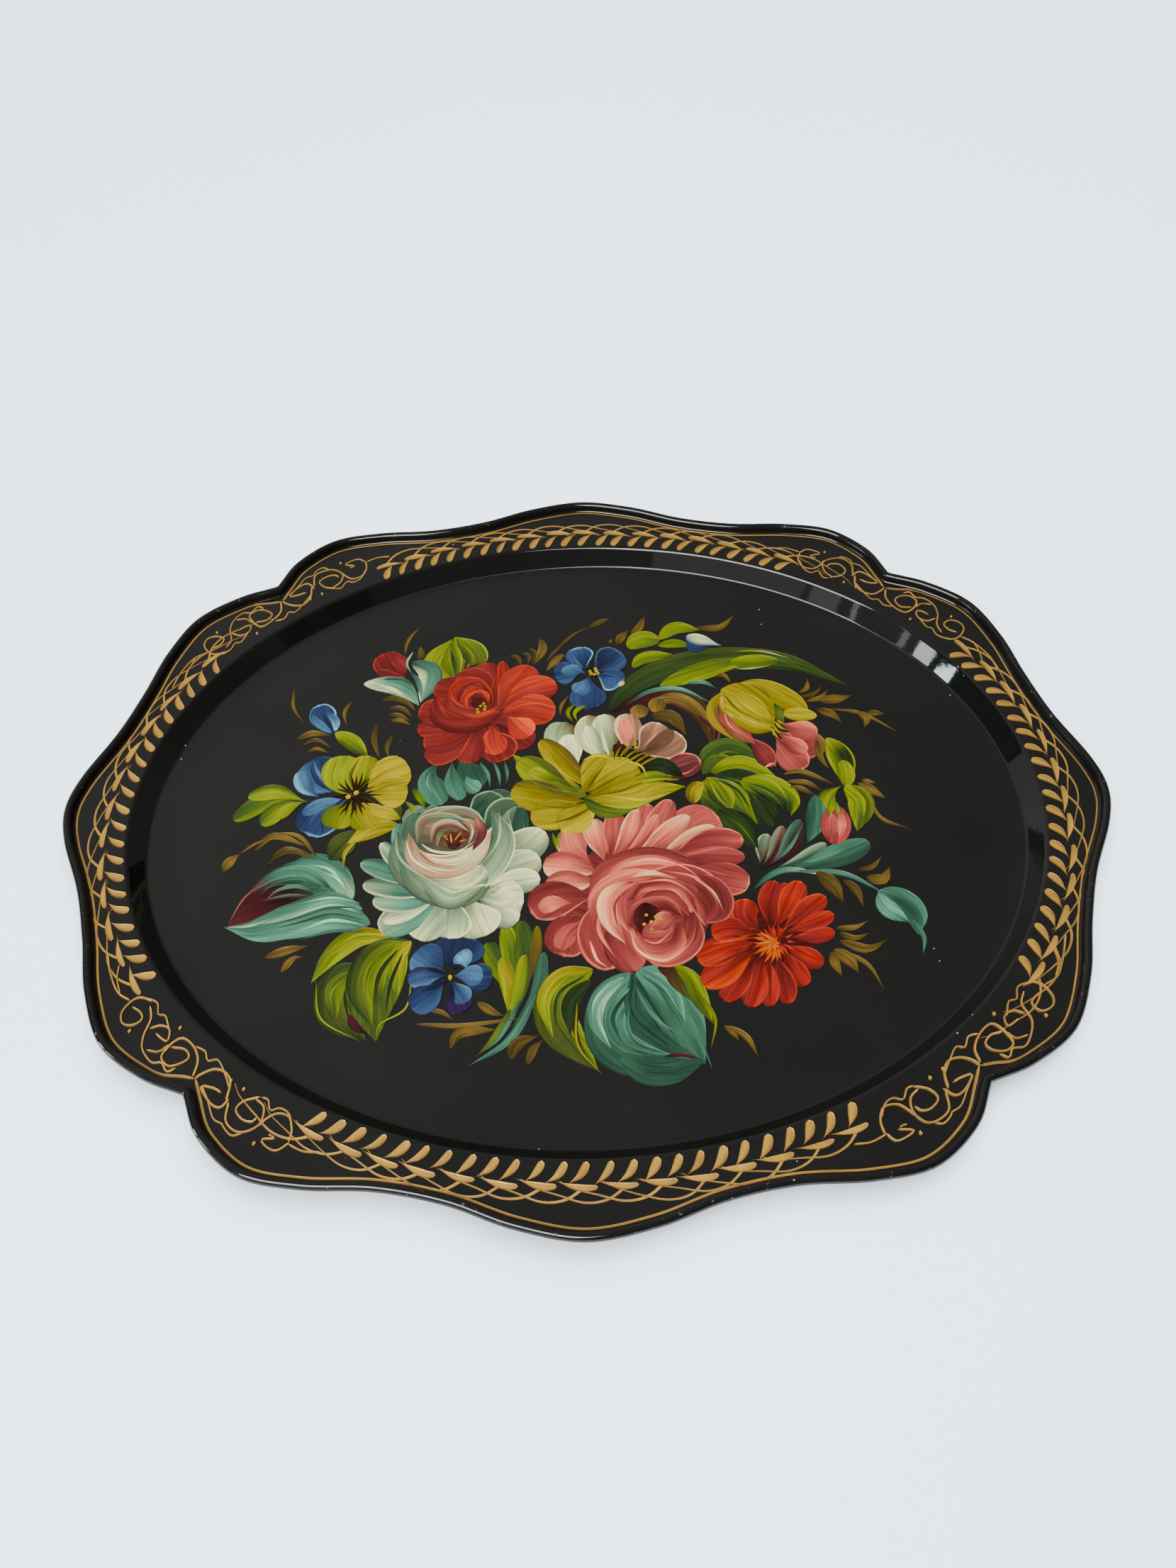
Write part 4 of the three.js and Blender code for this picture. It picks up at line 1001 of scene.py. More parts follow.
WHITE_ROSE = [
    ("oval", "t2w1t2", 48, -88, -26, -58, -26, -30, -24),
    ("petal", "t2t2w1", 20, -54, -6, -42, 2, -30, 8),
    ("petal", "t2t2w1", "W4W3", 18, -54, -6, -44, 3, -38, 11),
    ("petal", "t2w1w1", "W4--", 16, -46, -10, -37, 0, -28, 3),
    ("petal", "t2t2t2", "w3--", 14, -41, -34, -34, -16, -29, 4),
    ("blade", "w2w4w3", 1.3, -44, -26, -38, -10, -42, 6),
    ("blade", "w2w4w3", 1.1, -40, -30, -32, -14, -35, 4),
    ("blade", "w1w3w2", 1.1, -38, -30, -28, -14, -27, -2),
    ("petal", "t2w1w1", "W3w1", 13, -64, -8, -66, 0, -64, 4),
    ("petal", "t2w1w2", "w3--", 14, -74, -12, -75, -2, -70, 2),
    ("petal", "w1w3w5", "W6w2", 18, -46, -32, -30, -20, -17, -10),
    ("petal", "w1w4w5", "W6w3", 17, -46, -36, -30, -28, -19, -24),
    ("petal", "w2w4w5", "w6w2", 13, -45, -39, -30, -35, -19, -34),
    ("petal", "w2w5w5", "W6w3", 20, -46, -40, -34, -44, -26, -45),
    ("petal", "w2w4w5", "w5w2", 13, -46, -42, -36, -50, -28, -54),
    ("petal", "w3w5w6", "w6w5", 11, -42, -42, -36, -43, -30, -41),
    ("petal", "w2w5w5", "w6w3", 20, -50, -42, -46, -52, -42, -61),
    ("petal", "w2w4w5", "W6w2", 17, -54, -42, -56, -54, -57, -62),
    ("petal", "w1w4w5", "w4W6", 19, -58, -42, -66, -52, -72, -61),
    ("petal", "t3t4w4", "t5W5", 16, -60, -42, -74, -50, -87, -57),
    ("petal", "w2w4w5", "w5w2", 9, -62, -43, -74, -48, -86, -53),
    ("petal", "t3t5w4", "W5t3", 11, -58, -42, -74, -44, -91, -43),
    ("petal", "t3t4w4", "W5t3", 10, -56, -40, -76, -38, -96, -35),
    ("petal", "t3t4t5", "W4t2", 10, -56, -38, -78, -31, -98, -24),
    ("petal", "t3t4w4", "W5t3", 9, -56, -36, -78, -26, -90, -14),
    ("petal", "t2t3t4", "t5t2", 13, -56, -36, -76, -18, -83, -4),
    ("petal", "t2t3t3", "w2t2", 12, -58, -34, -76, -16, -75, 2),
    # the cup
    ("cup", "t3w3w4w3", "W5w1", 15, -83, -8, -79, -26, -62, -36, -44, -28),
    ("cup", "t3w3w4w2", "W5w1", 14, -82, -18, -70, -36, -50, -40, -38, -26),
    ("cup", "t3w3w4w2", "W5t2", 13, -42, 4, -36, -14, -44, -32, -60, -40),
    ("blade", "w2w4w4w3", 1.4, -84, -4, -81, -22, -66, -34, -56, -36),
    ("blade", "w1w3w2", 1.1, -80, -8, -76, -24, -64, -32),
    ("blade", "w2w4w3", 1.3, -38, 2, -38, -14, -46, -28),
    ("oval", "w3w5w4", "W5w2", 19, -66, -36, -54, -35, -42, -30),
    ("cup", "w3w4w3", "W5w1", 9, -72, -31, -58, -43.5, -42, -36),
    ("cup", "w3w5w5w3", 3, -46, -24, -44, -31, -52, -37, -64, -36),
    ("blade", "w4w6w4", 1.3, -66, -30, -58, -27, -47, -29),
    # the bud in its middle
    ("oval", "w1d3d2", "d5w1", 32, -76, -13, -60, -12.5, -44, -11),
    ("cup", "w1d4w3", "W4w1", 7, -77, -12, -71, -1, -60, 1.5, -50, 0, -43, -8),
    ("blade", "w2w4w3w2", 1.1, -72, -4, -64, 2.5, -54, 2.5, -46, -3),
    ("cup", "d4d5d5w5d5", "W6d5", 12, -78, -9, -74, -22, -61, -27, -48, -21, -41, -7),
    ("cup", "m5d6w5d6", 4, -75, -16, -66, -24, -54, -24, -46, -16),
    ("cup", "w2d4w3w1", "W4w1", 5, -74, -15, -72, -3, -61, -1, -51, -4),
    ("oval", "d2d3m3", 15, -67, -11, -59, -10, -51, -9),
    ("cup", "d3d5w3", "W4m3", 3.6, -68, -15, -66, -6, -59, -4, -51, -9),
    ("cup", "d4w2m3", 2.4, -65, -17, -64, -9.5, -58, -8),
    ("oval", "m2m3m2", 9.5, -61, -13.5, -54, -13.5),
    ("cup", "m3m4d5", "M5m3", 5, -49, -19, -45.5, -9, -49, 0),
    ("blade", "m5w5d4", 1.2, -51.5, -17, -49.5, -9, -52, -2),
    ("blade", "w5w6w5", 1.1, -79, -13, -75, -23, -66, -29, -58, -30.5),
    ("blade", "w6w6w5", 1.3, -72, -15, -66, -19, -56, -19.5, -48, -14),
    ("blade", "w4w5w4", 1.1, -77, -17, -70, -25.5, -58, -29, -48, -25),
    ("blade", "d4d5d4", 1.1, -73, -19, -66, -25, -56, -27),
]

PINK_ROSE = [
    ("oval", "p2p2p2", 62, -6, -32, 24, -44, 54, -38),
    ("petal", "p3p4p4", "p4P5", 24, 32, -24, 48, -10, 60, -4),
    ("petal", "p3p5p5", "P6p4", 14, 4, -28, -4, -20, -7, -8),
    ("petal", "p3p5p6", "P6p4", 11.5, 9, -27, 6, -14, 3, -3.5),
    ("petal", "p2p4p4", "P5p3", 11, 10, -26, 13, -14, 14, 0),
    ("petal", "p3p4p4", "P5p3", 12, 14, -25, 24, -12, 29, 4),
    ("petal", "p2p4p4", "P5p3", 12, 18, -25, 32, -8, 39, 6),
    ("petal", "p3p5p5", "P6p3", 10, 11, -25, 20, -12, 24, 1),
    ("petal", "p3p4p5", "p5p3", 8, 15, -25, 27, -14, 33, -2),
    ("petal", "p3p5p6", "P6p3", 11, 20, -25, 36, -13, 47, -3),
    ("blade", "p3p5p5", 1.3, 22, -25, 33, -14, 42, -3),
    ("petal", "p3p4p5", "p6p3", 10, 30, -25, 46, -16, 58, -9),
    ("petal", "p2p3p4", "P5p3", 14, 36, -24, 54, -17, 70, -16),
    ("petal", "p2p3p3", "p4p2", 10, 36, -25, 54, -24, 70, -25),
    ("blade", "p3p4p4", 1.3, 40, -25, 54, -21, 66, -20),
    ("petal", "p2p3p4", "p3P5", 16, 44, -28, 60, -35, 71, -38),
    ("blade", "p3p4p4", 1.3, 46, -29, 58, -33, 68, -36),
    ("petal", "p3p5p5", "p6p3", 15, 8, -32, -6, -28, -18, -27),
    ("petal", "p3p5p5", "p6p3", 13, 8, -36, -6, -36, -17, -38),
    ("petal", "p2p3p3", "P5p2", 19, 6, -43, -12, -44, -23, -50),
    ("petal", "p4p5p4", 8, -5, -46, -14, -46, -19, -50),
    ("petal", "p2p3p3", "P5p2", 20, 5, -52, -6, -60, -9, -71),
    ("petal", "p3p4p4", 9, 0, -54, -7, -60, -11, -68),
    # the great cup
    ("cup", "p3p4p4p3", "p2p4", 14, 2, -45, 9, -31, 28, -25.5, 45, -31, 56, -46),
    ("cup", "p4p5p5p4", "p4p5", 5, 7, -36, 18, -27, 34, -26, 48, -34),
    ("cup", "p2p3p3p3", "p3P5", 13, 56, -57, 57, -45, 44, -34, 26, -32),
    ("cup", "p3p2p2p3", "P4p2", 14, 46, -33, 54, -40, 57, -50, 50, -57),
    ("blade", "p4p5p4p3", 1.2, 34, -31, 48, -35, 56, -46, 55, -55),
    ("oval", "p2p3p2", 40, 7, -54, 26, -54, 42, -53),
    ("petal", "p3p3p3", "P5P5", 18, 7, -42, 4, -58, 12, -77),
    ("petal", "p2p3p4", "p4p2", 16, 12, -50, 14, -64, 22, -78),
    ("blade", "p4p5p4", 2, 7, -48, 6, -60, 13, -73),
    ("cup", "p3p4p4p3", "p5p2", 13, 3, -56, 7, -43, 20, -36, 40, -35),
    ("leaf", "p3p5p5p3", "p4p6", 10, 21, -36, 11, -44, 11, -55, 17, -66),
    ("leaf", "p3p4p4p3", "p3p5", 8, 26, -37, 17, -43, 16, -52, 20, -62),
    ("blade", "p3p3p3", 1.2, 20, -39, 13, -47, 14, -60),
    ("cup", "p2p4p4p2", "p2p5", 12, 18, -45, 32, -39.5, 46, -47, 51, -58),
    ("cup", "p2p3p4p2", "p2p5", 7, 20, -46, 26, -39, 40, -40, 48, -53),
    ("cup", "p2p3p3p2", "p2p4", 6, 22, -50, 28, -44, 38, -44, 45, -54),
    ("blade", "p5p6p5", 2.6, 20, -34, 28, -32, 38, -34),
    ("cup", "p2p3p4p2", "P5p2", 14, 46, -51, 44, -64, 32, -71, 22, -64),
    ("cup", "p2p3p4p2", "p5p1", 10, 40, -56, 38, -66, 27, -69, 20, -58),
    ("cup", "p2p3p2", "p4p1", 7, 19, -60, 22, -50, 34, -47, 42, -54),
    ("oval", "p1m1p1", 16, 20.5, -55, 33, -54),
    ("oval", "p3p4p4", "p4p3", 12, 24, -60, 30, -61, 37, -58),
    ("petal", "p3p4p3", "p5p3", 9, 27, -59, 32, -57, 36, -52),
    ("blade", "p4p5p5", 0.9, 24, -64, 30, -66, 37, -60),
    ("blade", "p5p6p5p4", 1.3, 19, -58, 22, -69, 33, -74, 44, -66, 47, -56),
    ("blade", "p4p5p4", 1, 22, -60, 25, -70, 34, -72, 42, -64),
    ("blade", "p5p6p5", 1.3, 2, -64, 5, -73, 10, -77),
    ("blade", "p5p6p5", 1, 47, -35, 55, -42, 59, -52),
    ("blade", "p5p6p5p4", 1, 12, -31, 28, -25, 44, -30, 53, -40),
    ("blade", "p4p5p4p3", 1, 22, -37, 36, -36, 46, -43, 50, -52),
    ("blade", "p4p5p4", 1, 28, -41, 38, -41, 45, -50),
]

# Dots of thick paint, by piece: size, colour and places.
DOTS = {
    "red_rose": (1.5, "y5", [(-49, 62), (-47, 60), (-50, 58.2), (-47.6, 63.4), (-46.8, 61.6),
                             (-50.4, 60)]),
    "blue_flower_top": (1.7, "y5", [(4, 80.5), (6.5, 82), (5.5, 80), (7.2, 80.6), (3.4, 82),
                                    (6, 83.4)]),
    "pink_rose": (1.5, "y5", [(26, -52.6), (25, -57), (28, -59.3), (30, -53.6), (32, -54.6),
                              (28, -56)]),
    "peony": (1.8, "y5", [(24, 37.5), (24.4, 35.4), (20.4, 37.4)]),
    "pansy": (2.4, "y6", [(-107, 11), (-103.6, 13)]),
}

# The peony's threads: where each starts, and how far it reaches in x and y.
THREADS = ((12, 29, 2, 9), (14, 28, 4, 9), (16, 28, 6, 9), (18, 27.5, 8, 7),
           (20, 27, 10, 6), (23, 26, 10, 6), (26, 25, 9, 5))

# The white rose's stamens: distance from its heart, angle in degrees, and length.
STAMENS = ((0.5, 98, 5), (2, 58, 6), (2.4, 128, 4.5), (3.6, 20, 3))

PANSY_HEART = (-104.5, 12.5)
WHITE_ROSE_HEART = (-58.5, -15.5)
DAISY_HEART = (79, -66.5)
DAISY_BUTTON = (78, -67)


def rays(canvas, centre, reaches, angles, width, along, start):
    """Thin tapering marks out of a centre, evenly turned between two angles."""
    turns = np.radians(np.linspace(*angles, len(reaches)))
    for turn, reach in zip(turns, reaches):
        out = np.array([math.cos(turn), math.sin(turn)])
        side = np.array([-out[1], out[0]]) * random.uniform(-0.8, 0.8)
        end = start + reach
        points = centre + np.array([out * start, out * end * 0.55 + side, out * end])
        canvas.stroke("blade", along, PLAIN, width, *points.ravel())


def dots(canvas, size, code, places):
    """Small dots of thick paint."""
    for x, y in places:
        canvas.stroke("oval", code * 2, PLAIN, size, x - size / 2, y - 0.3, x + size / 2, y + 0.3)


def grass_blades(canvas):
    """The brown blades behind the flowers, each in one of four mixed tones."""
    for width, *points in GRASSES:
        tone = random.choice(("o3o4o3", "o2o4o3", "o3o4o2", "o2o3o3"))
        canvas.stroke("blade", tone, PLAIN, width, *points)


def pansy_whiskers(canvas):
    """The dark whiskers of the pansy."""
    rays(canvas, PANSY_HEART, [10, 12, 11, 13, 10, 9], (-42, 24), 1.2, "m1o1o2", 1)
    rays(canvas, PANSY_HEART, [11, 10, 12, 10, 11], (50, 105), 1.2, "m1o1o2", 1)
    rays(canvas, PANSY_HEART, [9, 10, 9], (122, 160), 1.1, "m1o1o2", 1)
    rays(canvas, PANSY_HEART, [10, 12, 11, 13, 11, 12, 10], (-128, -55), 1.3, "m1o1o1", 1)
    rays(canvas, PANSY_HEART, [8, 9], (190, 215), 1, "m1m1b1", 1)


def white_rose_stamens(canvas):
    """Short dabs around the white rose's heart."""
    for radius, angle, length in STAMENS:
        turn = math.radians(angle)
        out = np.array([math.cos(turn), math.sin(turn)])
        start = WHITE_ROSE_HEART + out * radius
        canvas.stroke("oval", "a6y4", PLAIN, 0.9, *start, *(start + out * length))


def peony_threads(canvas):
    """The yellow threads that fan out of the peony's heart."""
    for x, y, dx, dy in THREADS:
        points = (x, y, x + dx * 0.5, y + dy * 0.62, x + dx, y + dy)
        canvas.stroke("blade", "y4y3o5", PLAIN, 1.1, *points)


def daisy_button(canvas):
    """The daisy's button, with rings of short rays around it and on it."""
    canvas.stroke("oval", "a1a2a1", PLAIN, 11, 76, -67, 84, -65)
    rays(canvas, DAISY_HEART, [9, 10, 9, 10, 11, 10, 11, 10, 9, 8, 7], (150, 300), 1.9, "a3a5a5", 0)
    rays(canvas, DAISY_HEART, [7, 8, 7, 8, 7, 7, 6], (60, 150), 1.6, "a3a4a4", 1)
    rays(canvas, DAISY_HEART, [6, 7, 6, 7, 8], (-50, 50), 1.2, "a2a4a5", 2)
    rays(canvas, DAISY_HEART, [6, 7, 6, 7, 6, 7, 6], (140, 280), 1.1, "a5a6a6", 1.5)
    canvas.stroke("oval", "a5a5a5", "a6a4", 6.5, 76.5, -68, 80, -66)
    rays(canvas, DAISY_BUTTON, [2, 2.4, 2, 2.4, 2, 2.4, 2], (0, 330), 0.9, "a6a6", 1.2)
    canvas.stroke("oval", "a1a1a1", PLAIN, 3, 82, -67.5, 84, -64.5)


# The pieces of the bouquet from the background to the top: name, strokes, how
# far the first stroke lies above the floor, and what is drawn by a function.
PIECES = (
    ("grasses", (), 0.01, grass_blades),
    ("back_leaves", BACK_LEAVES, 0.06, None),
    ("big_leaves", BIG_LEAVES, 0.06, None),
    ("teal_leaves", TEAL_LEAVES, 0.06, None),
    ("red_bud", RED_BUD, 0.1, None),
    ("blue_bud", BLUE_BUD, 0.3, None),
    ("pink_bud", PINK_BUD, 0.5, None),
    ("pansy", PANSY, 0.5, pansy_whiskers),
    ("white_rose", WHITE_ROSE, 0.4, white_rose_stamens),
    ("red_rose", RED_ROSE, 0.3, None),
    ("blue_flower_low", BLUE_LOW, 0.5, None),
    ("blue_flower_top", BLUE_TOP, 0.5, None),
    ("pink_rose", PINK_ROSE, 0.45, None),
    ("peony", PEONY, 0.5, peony_threads),
    ("tulip", TULIP, 0.35, None),
    ("orange_daisy", DAISY, 0.4, daisy_button),
)


def bouquet(material):
    """The whole painting on the tray's floor."""
    for name, rows, lift, details in PIECES:
        canvas = Canvas(FLOOR_TOP, lift)
        canvas.paint(rows)
        if details:
            details(canvas)
        if name in DOTS:
            dots(canvas, *DOTS[name])
        canvas.finish(f"paint_{name}", material, "oil_paint")


# ---- materials -------------------------------------------------------------

class Nodes:
    """A short way to write the nodes and links of a material or a world."""

    def __init__(self, tree):
        self.tree = tree
        self.shader = tree.nodes.get("Principled BSDF")

    def node(self, kind, **settings):
        """A new node with the attributes or inputs given."""
        made = self.tree.nodes.new(kind)
        for key, value in settings.items():
            self.put(made, key, value)
        return made

    def put(self, node, key, value):
        """Sets an attribute or an input, by name or by number, from a value or a socket."""
        if isinstance(key, str) and hasattr(node, key):
            setattr(node, key, value)
            return
        socket = node.inputs[key]
        if isinstance(value, bpy.types.NodeSocket):
            self.tree.links.new(value, socket)
        else:
            socket.default_value = value

    def noise(self, vector, scale, detail, roughness=0.5):
        made = self.node("ShaderNodeTexNoise")
        self.put(made, "Vector", vector)
        self.put(made, "Scale", scale)
        self.put(made, "Detail", detail)
        self.put(made, "Roughness", roughness)
        return made.outputs[0]

    def ramp(self, value, low, high, to_low=0.0, to_high=1.0):
        """The value carried from one range to another, and held at its ends."""
        made = self.node("ShaderNodeMapRange")
        for key, number in enumerate((value, low, high, to_low, to_high)):
            self.put(made, key, number)
        return made.outputs[0]

    def math(self, operation, a, b=0.0):
        made = self.node("ShaderNodeMath", operation=operation)
        self.put(made, 0, a)
        self.put(made, 1, b)
        return made.outputs[0]

    def within(self, value, low, high):
        """1 where the value is between two numbers, and 0 elsewhere."""
        above = self.math("GREATER_THAN", value, low)
        return self.math("MULTIPLY", above, self.math("LESS_THAN", value, high))

    def mix(self, factor, a, b):
        """Two colours mixed; 6 and 7 are the colour inputs of the node, and 2 its colour output."""
        made = self.node("ShaderNodeMix", data_type="RGBA")
        self.put(made, 0, factor)
        self.put(made, 6, a)
        self.put(made, 7, b)
        return made.outputs[2]

    def split(self, vector):
        """The x, y and z of a vector."""
        made = self.node("ShaderNodeSeparateXYZ")
        self.put(made, 0, vector)
        return [made.outputs[axis] for axis in "XYZ"]

    def place(self):
        """The position on the object, in metres."""
        return self.node("ShaderNodeTexCoord").outputs["Object"]

    def bump(self, height, distance, strength):
        made = self.node("ShaderNodeBump")
        self.put(made, "Height", height)
        self.put(made, "Distance", distance)
        self.put(made, "Strength", strength)
        self.put(self.shader, "Normal", made.outputs[0])


def new_material(name):
    """An empty material, and its nodes."""
    material = bpy.data.materials.new(name)
    material.use_nodes = True
    return material, Nodes(material.node_tree)


def lacquer_colour(n, at, wear):
    """Near black, slightly clouded, with pale dust specks and bare metal where it is worn."""
    cloud = n.ramp(n.noise(at, 14, 3), 0.35, 0.7)
    base = n.mix(cloud, (0.0045, 0.0045, 0.0042, 1), (0.0070, 0.0069, 0.0064, 1))
    cells = n.node("ShaderNodeTexVoronoi", Scale=150)
    n.put(cells, "Vector", at)
    near = n.math("LESS_THAN", cells.outputs["Distance"], 0.045)
    chosen = n.math("GREATER_THAN", n.noise(at, 37, 0), 0.66)
    base = n.mix(n.math("MULTIPLY", near, chosen), base, (0.5, 0.5, 0.46, 1))
    return n.mix(wear, base, (0.09, 0.065, 0.045, 1))


def black_lacquer():
    """Glossy lacquer, satin on the floor and flange, chipped and rubbed at the rim."""
    material, n = new_material("black_lacquer")
    at = n.place()
    z = n.split(at)[2]
    chips = n.math("GREATER_THAN", n.noise(at, 420, 4, 0.65), 0.66)
    wear = n.math("MULTIPLY", chips, n.ramp(z, (CURL_HEIGHT - 0.3) * MM, (CURL_HEIGHT + 1.2) * MM))
    n.put(n.shader, "Base Color", lacquer_colour(n, at, wear))
    on_floor = n.math("LESS_THAN", z, (FLOOR_TOP + 0.4) * MM)
    on_flange = n.within(z, (FLANGE_TOP - 0.2) * MM, (FLANGE_TOP + 0.3) * MM)
    satin = n.math("ADD", on_floor, n.math("MULTIPLY", on_flange, 0.65))
    fine = n.ramp(n.noise(at, 900, 2), 0.3, 0.7, -0.01, 0.015)
    rough = n.math("ADD", n.ramp(satin, 0, 1, 0.035, 0.24), fine)
    rough = n.math("ADD", rough, n.math("MULTIPLY", wear, 0.4))
    facing = n.split(n.node("ShaderNodeNewGeometry").outputs["Normal"])[2]
    above = n.math("GREATER_THAN", z, (FLANGE_TOP + 0.3) * MM)
    rubbed = n.math("MULTIPLY", n.ramp(facing, 0.1, 0.75, 1, 0), above)
    n.put(n.shader, "Roughness", n.math("ADD", rough, n.math("MULTIPLY", rubbed, 0.45)))
    n.put(n.shader, "Specular IOR Level", n.ramp(rubbed, 0, 1, 0.5, 0.1))
    orange_peel = n.math("ADD", n.noise(at, 420, 2), n.math("MULTIPLY", n.noise(at, 60, 2), 1.5))
    n.bump(orange_peel, 0.00003, 0.25)
    return material


def steel_wire():
    """Drawn steel wire with a fine grain and a little rust."""
    material, n = new_material("steel_wire")
    at = n.place()
    rust = n.ramp(n.noise(at, 160, 4), 0.5, 0.7)
    n.put(n.shader, "Base Color", n.mix(rust, (0.32, 0.32, 0.31, 1), (0.16, 0.08, 0.04, 1)))
    n.put(n.shader, "Metallic", 1.0)
    n.put(n.shader, "Roughness", n.ramp(n.noise(at, 500, 3), 0.3, 0.7, 0.3, 0.55))
    n.bump(n.noise(at, 900, 2), 0.00002, 0.4)
    return material


def bristle_marks(n, along, across):
    """Fine and broad streaks that run along each brush stroke."""
    vector = n.node("ShaderNodeAttribute", attribute_name="bristle").outputs["Vector"]
    marks = []
    for x, y, roughness in ((along, across, 0.6), (along * 0.5, across * 0.28, 0.5)):
        scaled = n.node("ShaderNodeMapping", Scale=(x, y, 1))
        n.put(scaled, "Vector", vector)
        marks.append(n.noise(scaled.outputs[0], 1.0, 2, roughness))
    return marks


def stroke_colour(n, value):
    """The colour stored with each stroke, at the value given."""
    hue = n.node("ShaderNodeHueSaturation")
    paint = n.node("ShaderNodeAttribute", attribute_name="paint")
    n.put(hue, "Color", paint.outputs["Color"])
    n.put(hue, "Value", value)
    n.put(n.shader, "Base Color", hue.outputs[0])
    return hue


def oil_paint():
    """Oil paint in brush strokes, each with its own streaks, under clear lacquer."""
    material, n = new_material("oil_paint")
    fine, broad = bristle_marks(n, 0.07, 2.1)
    value = n.math("ADD", n.ramp(fine, 0.25, 0.75, -0.3, 0.3), n.ramp(broad, 0.25, 0.75, -0.42, 0.42))
    strength = n.node("ShaderNodeAttribute", attribute_name="paint").outputs["Alpha"]
    value = n.math("ADD", n.math("MULTIPLY", value, strength), 1.0)
    hue = stroke_colour(n, value)
    n.put(hue, "Saturation", n.ramp(value, 0.7, 1.4, 1.03, 0.99))
    n.put(n.shader, "Roughness", n.ramp(fine, 0.2, 0.8, 0.26, 0.4))
    n.put(n.shader, "Specular IOR Level", 0.22)
    n.bump(fine, 0.00006, 0.35)
    return material


def gold_paint():
    """Bronze-powder paint: uneven, grainy and a little metallic."""
    material, n = new_material("gold_paint")
    fine, broad = bristle_marks(n, 0.12, 1.6)
    grain = n.noise(n.place(), 2600, 2)
    value = n.math("ADD", n.ramp(broad, 0.25, 0.75, 0.8, 1.18), n.ramp(grain, 0.3, 0.7, -0.12, 0.12))
    stroke_colour(n, value)
    n.put(n.shader, "Metallic", 0.35)
    n.put(n.shader, "Roughness", n.ramp(grain, 0.3, 0.7, 0.38, 0.56))
    n.bump(n.math("ADD", fine, grain), 0.00005, 0.4)
    return material


def pale_table():
    """A plain pale surface, which fades into the backdrop far out."""
    material, n = new_material("pale_table")
    at = n.place()
    colour = n.mix(n.noise(at, 3, 2), (0.77, 0.83, 0.92, 1), (0.81, 0.87, 0.95, 1))
    distance = n.node("ShaderNodeVectorMath", operation="LENGTH")
    n.put(distance, 0, at)
    far = n.ramp(distance.outputs["Value"], *TABLE_FADE)
    n.put(n.shader, "Base Color", n.mix(far, colour, (0, 0, 0, 1)))
    n.put(n.shader, "Specular IOR Level", n.ramp(far, 0, 1, 0.5, 0))
    n.put(n.shader, "Emission Color", BACKDROP_COLOUR)
    n.put(n.shader, "Emission Strength", n.math("MULTIPLY", far, BACKDROP))
    n.put(n.shader, "Roughness", 0.6)
    return material


# ---- stage, camera and light -----------------------------------------------

# The camera, in millimetres and degrees.
CAMERA_AT = (10.74, -300.94, 458.70)
CAMERA_TO = (1.91, 16.34, 0.0)
CAMERA_ROLL = -2.474
LENS = 28.08

# The stage and the lights are in metres.
TABLE_RADIUS = 1.7
TABLE_FADE = (0.95, 1.65)
BACKDROP = 3.9
BACKDROP_COLOUR = (0.82, 0.92, 1.0, 1)
ROOM_COLOUR = (1.0, 0.99, 0.97, 1)
WARM = (1.0, 0.985, 0.96)
DAYLIGHT = (0.93, 0.98, 1.0)
TEAL_LIGHT = (0.8, 0.96, 1.0)

# Dark parts of the room: ranges of x, y and z of the direction towards them.
ROOM_SHADE = 0.06
DARK_PARTS = (
    ((0.52, 0.76), (-2, -0.45), (-2, 0.6)),
    ((-2, -0.7), (-0.3, 0.32), (-2, 0.62)),
)

# What the glossy wall of the well reflects, as seen from PANEL_SEAT at its foot:
# name, azimuths and rises in degrees, radiance and colour.
PANEL_SEAT = (0.15, 0.1, 0)
PANEL_REACH = 2.0
PANELS = (
    ("grey_wall", (18, 40), (8, 36), 0.42, WARM),
    ("far_door", (42.8, 48), (8, 36), 0.9, WARM),
    ("frame_left", (51.2, 52.2), (8, 34), 2.6, WARM),
    ("door_panel", (54, 61), (13, 15), 1.6, WARM),
    ("frame_right", (62.8, 64.4), (8, 34), 2.4, WARM),
    ("window_left", (67.4, 71.6), (9, 24), 13, DAYLIGHT),
    ("window_right", (73.8, 78.2), (6, 20.5), 30, TEAL_LIGHT),
)


def camera():
    """The camera at the photograph's angle."""
    data = bpy.data.cameras.new("camera")
    data.sensor_width = 36
    data.lens = LENS
    data.clip_start = 0.01
    data.clip_end = 50
    obj = bpy.data.objects.new("camera", data)
    bpy.context.scene.collection.objects.link(obj)
    start = Vector(CAMERA_AT) * MM
    ahead = (Vector(CAMERA_TO) * MM - start).normalized()
    level = ahead.cross(Vector((0, 0, 1))).normalized()
    lift = level.cross(ahead)
    roll = math.radians(CAMERA_ROLL)
    right = level * math.cos(roll) + lift * math.sin(roll)
    up = lift * math.cos(roll) - level * math.sin(roll)
    turn = Matrix((right, up, -ahead)).transposed()
    obj.matrix_world = Matrix.Translation(start) @ turn.to_4x4()
    bpy.context.scene.camera = obj


def table():
    """A round plain floor."""
    turns = np.linspace(0, 2 * math.pi, 96, endpoint=False)
    rim = [(TABLE_RADIUS * math.cos(turn), TABLE_RADIUS * math.sin(turn), 0) for turn in turns]
    mesh = bpy.data.meshes.new("table")
    mesh.from_pydata(rim, [], [tuple(range(len(rim)))])
    mesh.materials.append(pale_table())
    obj = bpy.data.objects.new("table", mesh)
    bpy.context.scene.collection.objects.link(obj)
    return obj


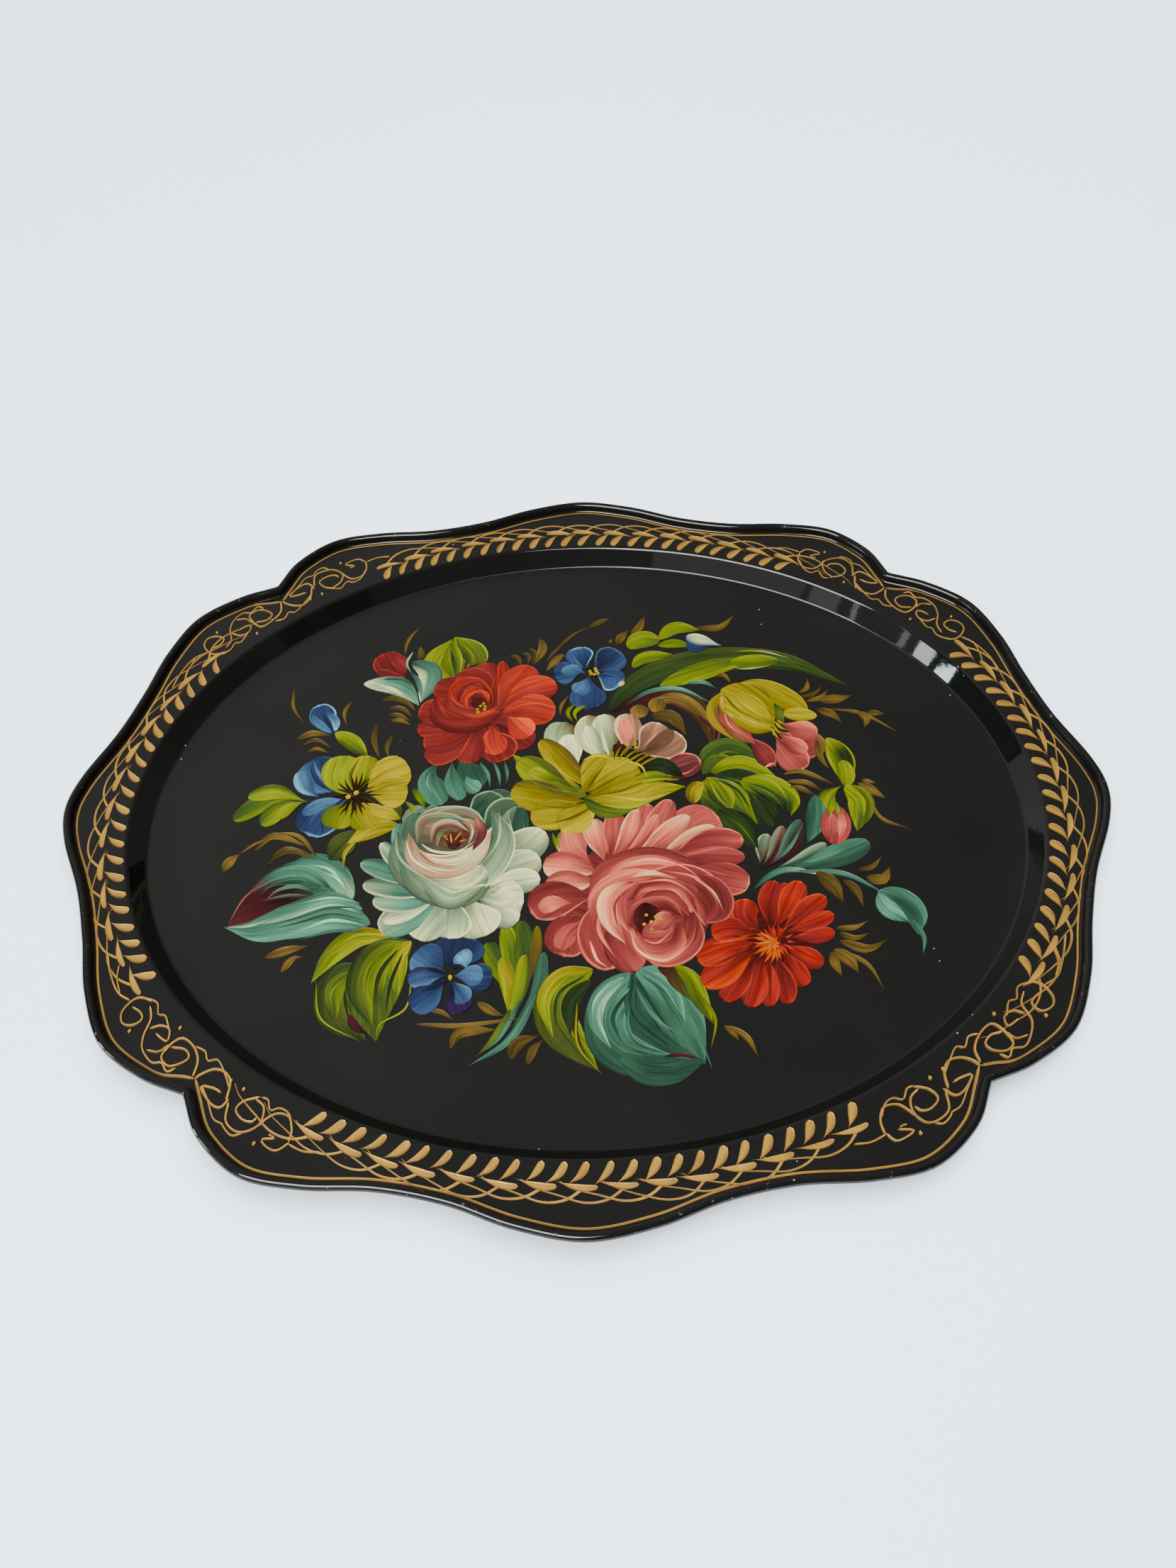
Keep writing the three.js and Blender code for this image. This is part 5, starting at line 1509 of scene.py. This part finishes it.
def area_light(name, at, towards, size, power, colour):
    """A rectangular light at one point, turned towards another."""
    data = bpy.data.lights.new(name, "AREA")
    data.shape = "RECTANGLE"
    data.size, data.size_y = size
    data.energy = power
    data.color = colour
    obj = bpy.data.objects.new(name, data)
    bpy.context.scene.collection.objects.link(obj)
    obj.location = at
    obj.rotation_euler = (Vector(towards) - Vector(at)).to_track_quat("-Z", "Y").to_euler()
    return obj


def world():
    """A dim room, brighter at the left, with two dark parts; the camera sees a pale backdrop."""
    made = bpy.data.worlds.new("studio")
    made.use_nodes = True
    n = Nodes(made.node_tree)
    x, y, z = n.split(n.node("ShaderNodeTexCoord").outputs["Generated"])
    light = n.math("MULTIPLY", n.ramp(y, -0.5, 0.6, 0.2, 0.42), n.ramp(x, -0.5, 0.5, 1.5, 0.5))
    for x_range, y_range, z_range in DARK_PARTS:
        dark = n.math("MULTIPLY", n.within(x, *x_range), n.within(y, *y_range))
        dark = n.math("MULTIPLY", dark, n.within(z, *z_range))
        light = n.math("MULTIPLY", light, n.ramp(dark, 0, 1, 1, ROOM_SHADE))
    seen = n.node("ShaderNodeLightPath").outputs["Is Camera Ray"]
    sky = n.tree.nodes["Background"]
    n.put(sky, "Color", n.mix(seen, ROOM_COLOUR, BACKDROP_COLOUR))
    n.put(sky, "Strength", n.math("MAXIMUM", light, n.math("MULTIPLY", seen, BACKDROP)))
    bpy.context.scene.world = made


def panel(name, azimuths, rises, radiance, colour):
    """A lit wall panel or window that the glossy wall of the well reflects."""
    middle = math.radians(sum(azimuths) / 2)
    rise = math.radians(sum(rises) / 2)
    width = 2 * PANEL_REACH * math.tan(math.radians(azimuths[1] - azimuths[0]) / 2)
    height = 2 * PANEL_REACH * math.tan(math.radians(rises[1] - rises[0]) / 2)
    at = (PANEL_SEAT[0] - PANEL_REACH * math.sin(middle) * math.cos(rise),
          PANEL_SEAT[1] - PANEL_REACH * math.cos(middle) * math.cos(rise),
          PANEL_SEAT[2] + PANEL_REACH * math.sin(rise))
    area_light(name, at, PANEL_SEAT, (width, height), radiance * math.pi * width * height, colour)


def lights(floor):
    """The key light, the reflected panels, and an overhead light for the floor alone."""
    area_light("key", (-0.7, -1.15, 2.0), (0, 0, 0), (1.5, 1.2), 96, WARM)
    for row in PANELS:
        panel(*row)
    over = area_light("table_light", (0.3, 0.6, 2.4), (0, 0, 0), (2.4, 2.4), 215, (0.80, 0.92, 1.0))
    only_floor = bpy.data.collections.new("floor_only")
    only_floor.objects.link(floor)
    over.light_linking.receiver_collection = only_floor


# ---- assembly --------------------------------------------------------------

random.seed(7)
tray_shell(black_lacquer())
wire = frame["nodes"]["rim_wire"]
wire.data.materials.clear()
wire.data.materials.append(steel_wire())
gold_ornament(gold_paint())
bouquet(oil_paint())
world()
lights(table())
camera()
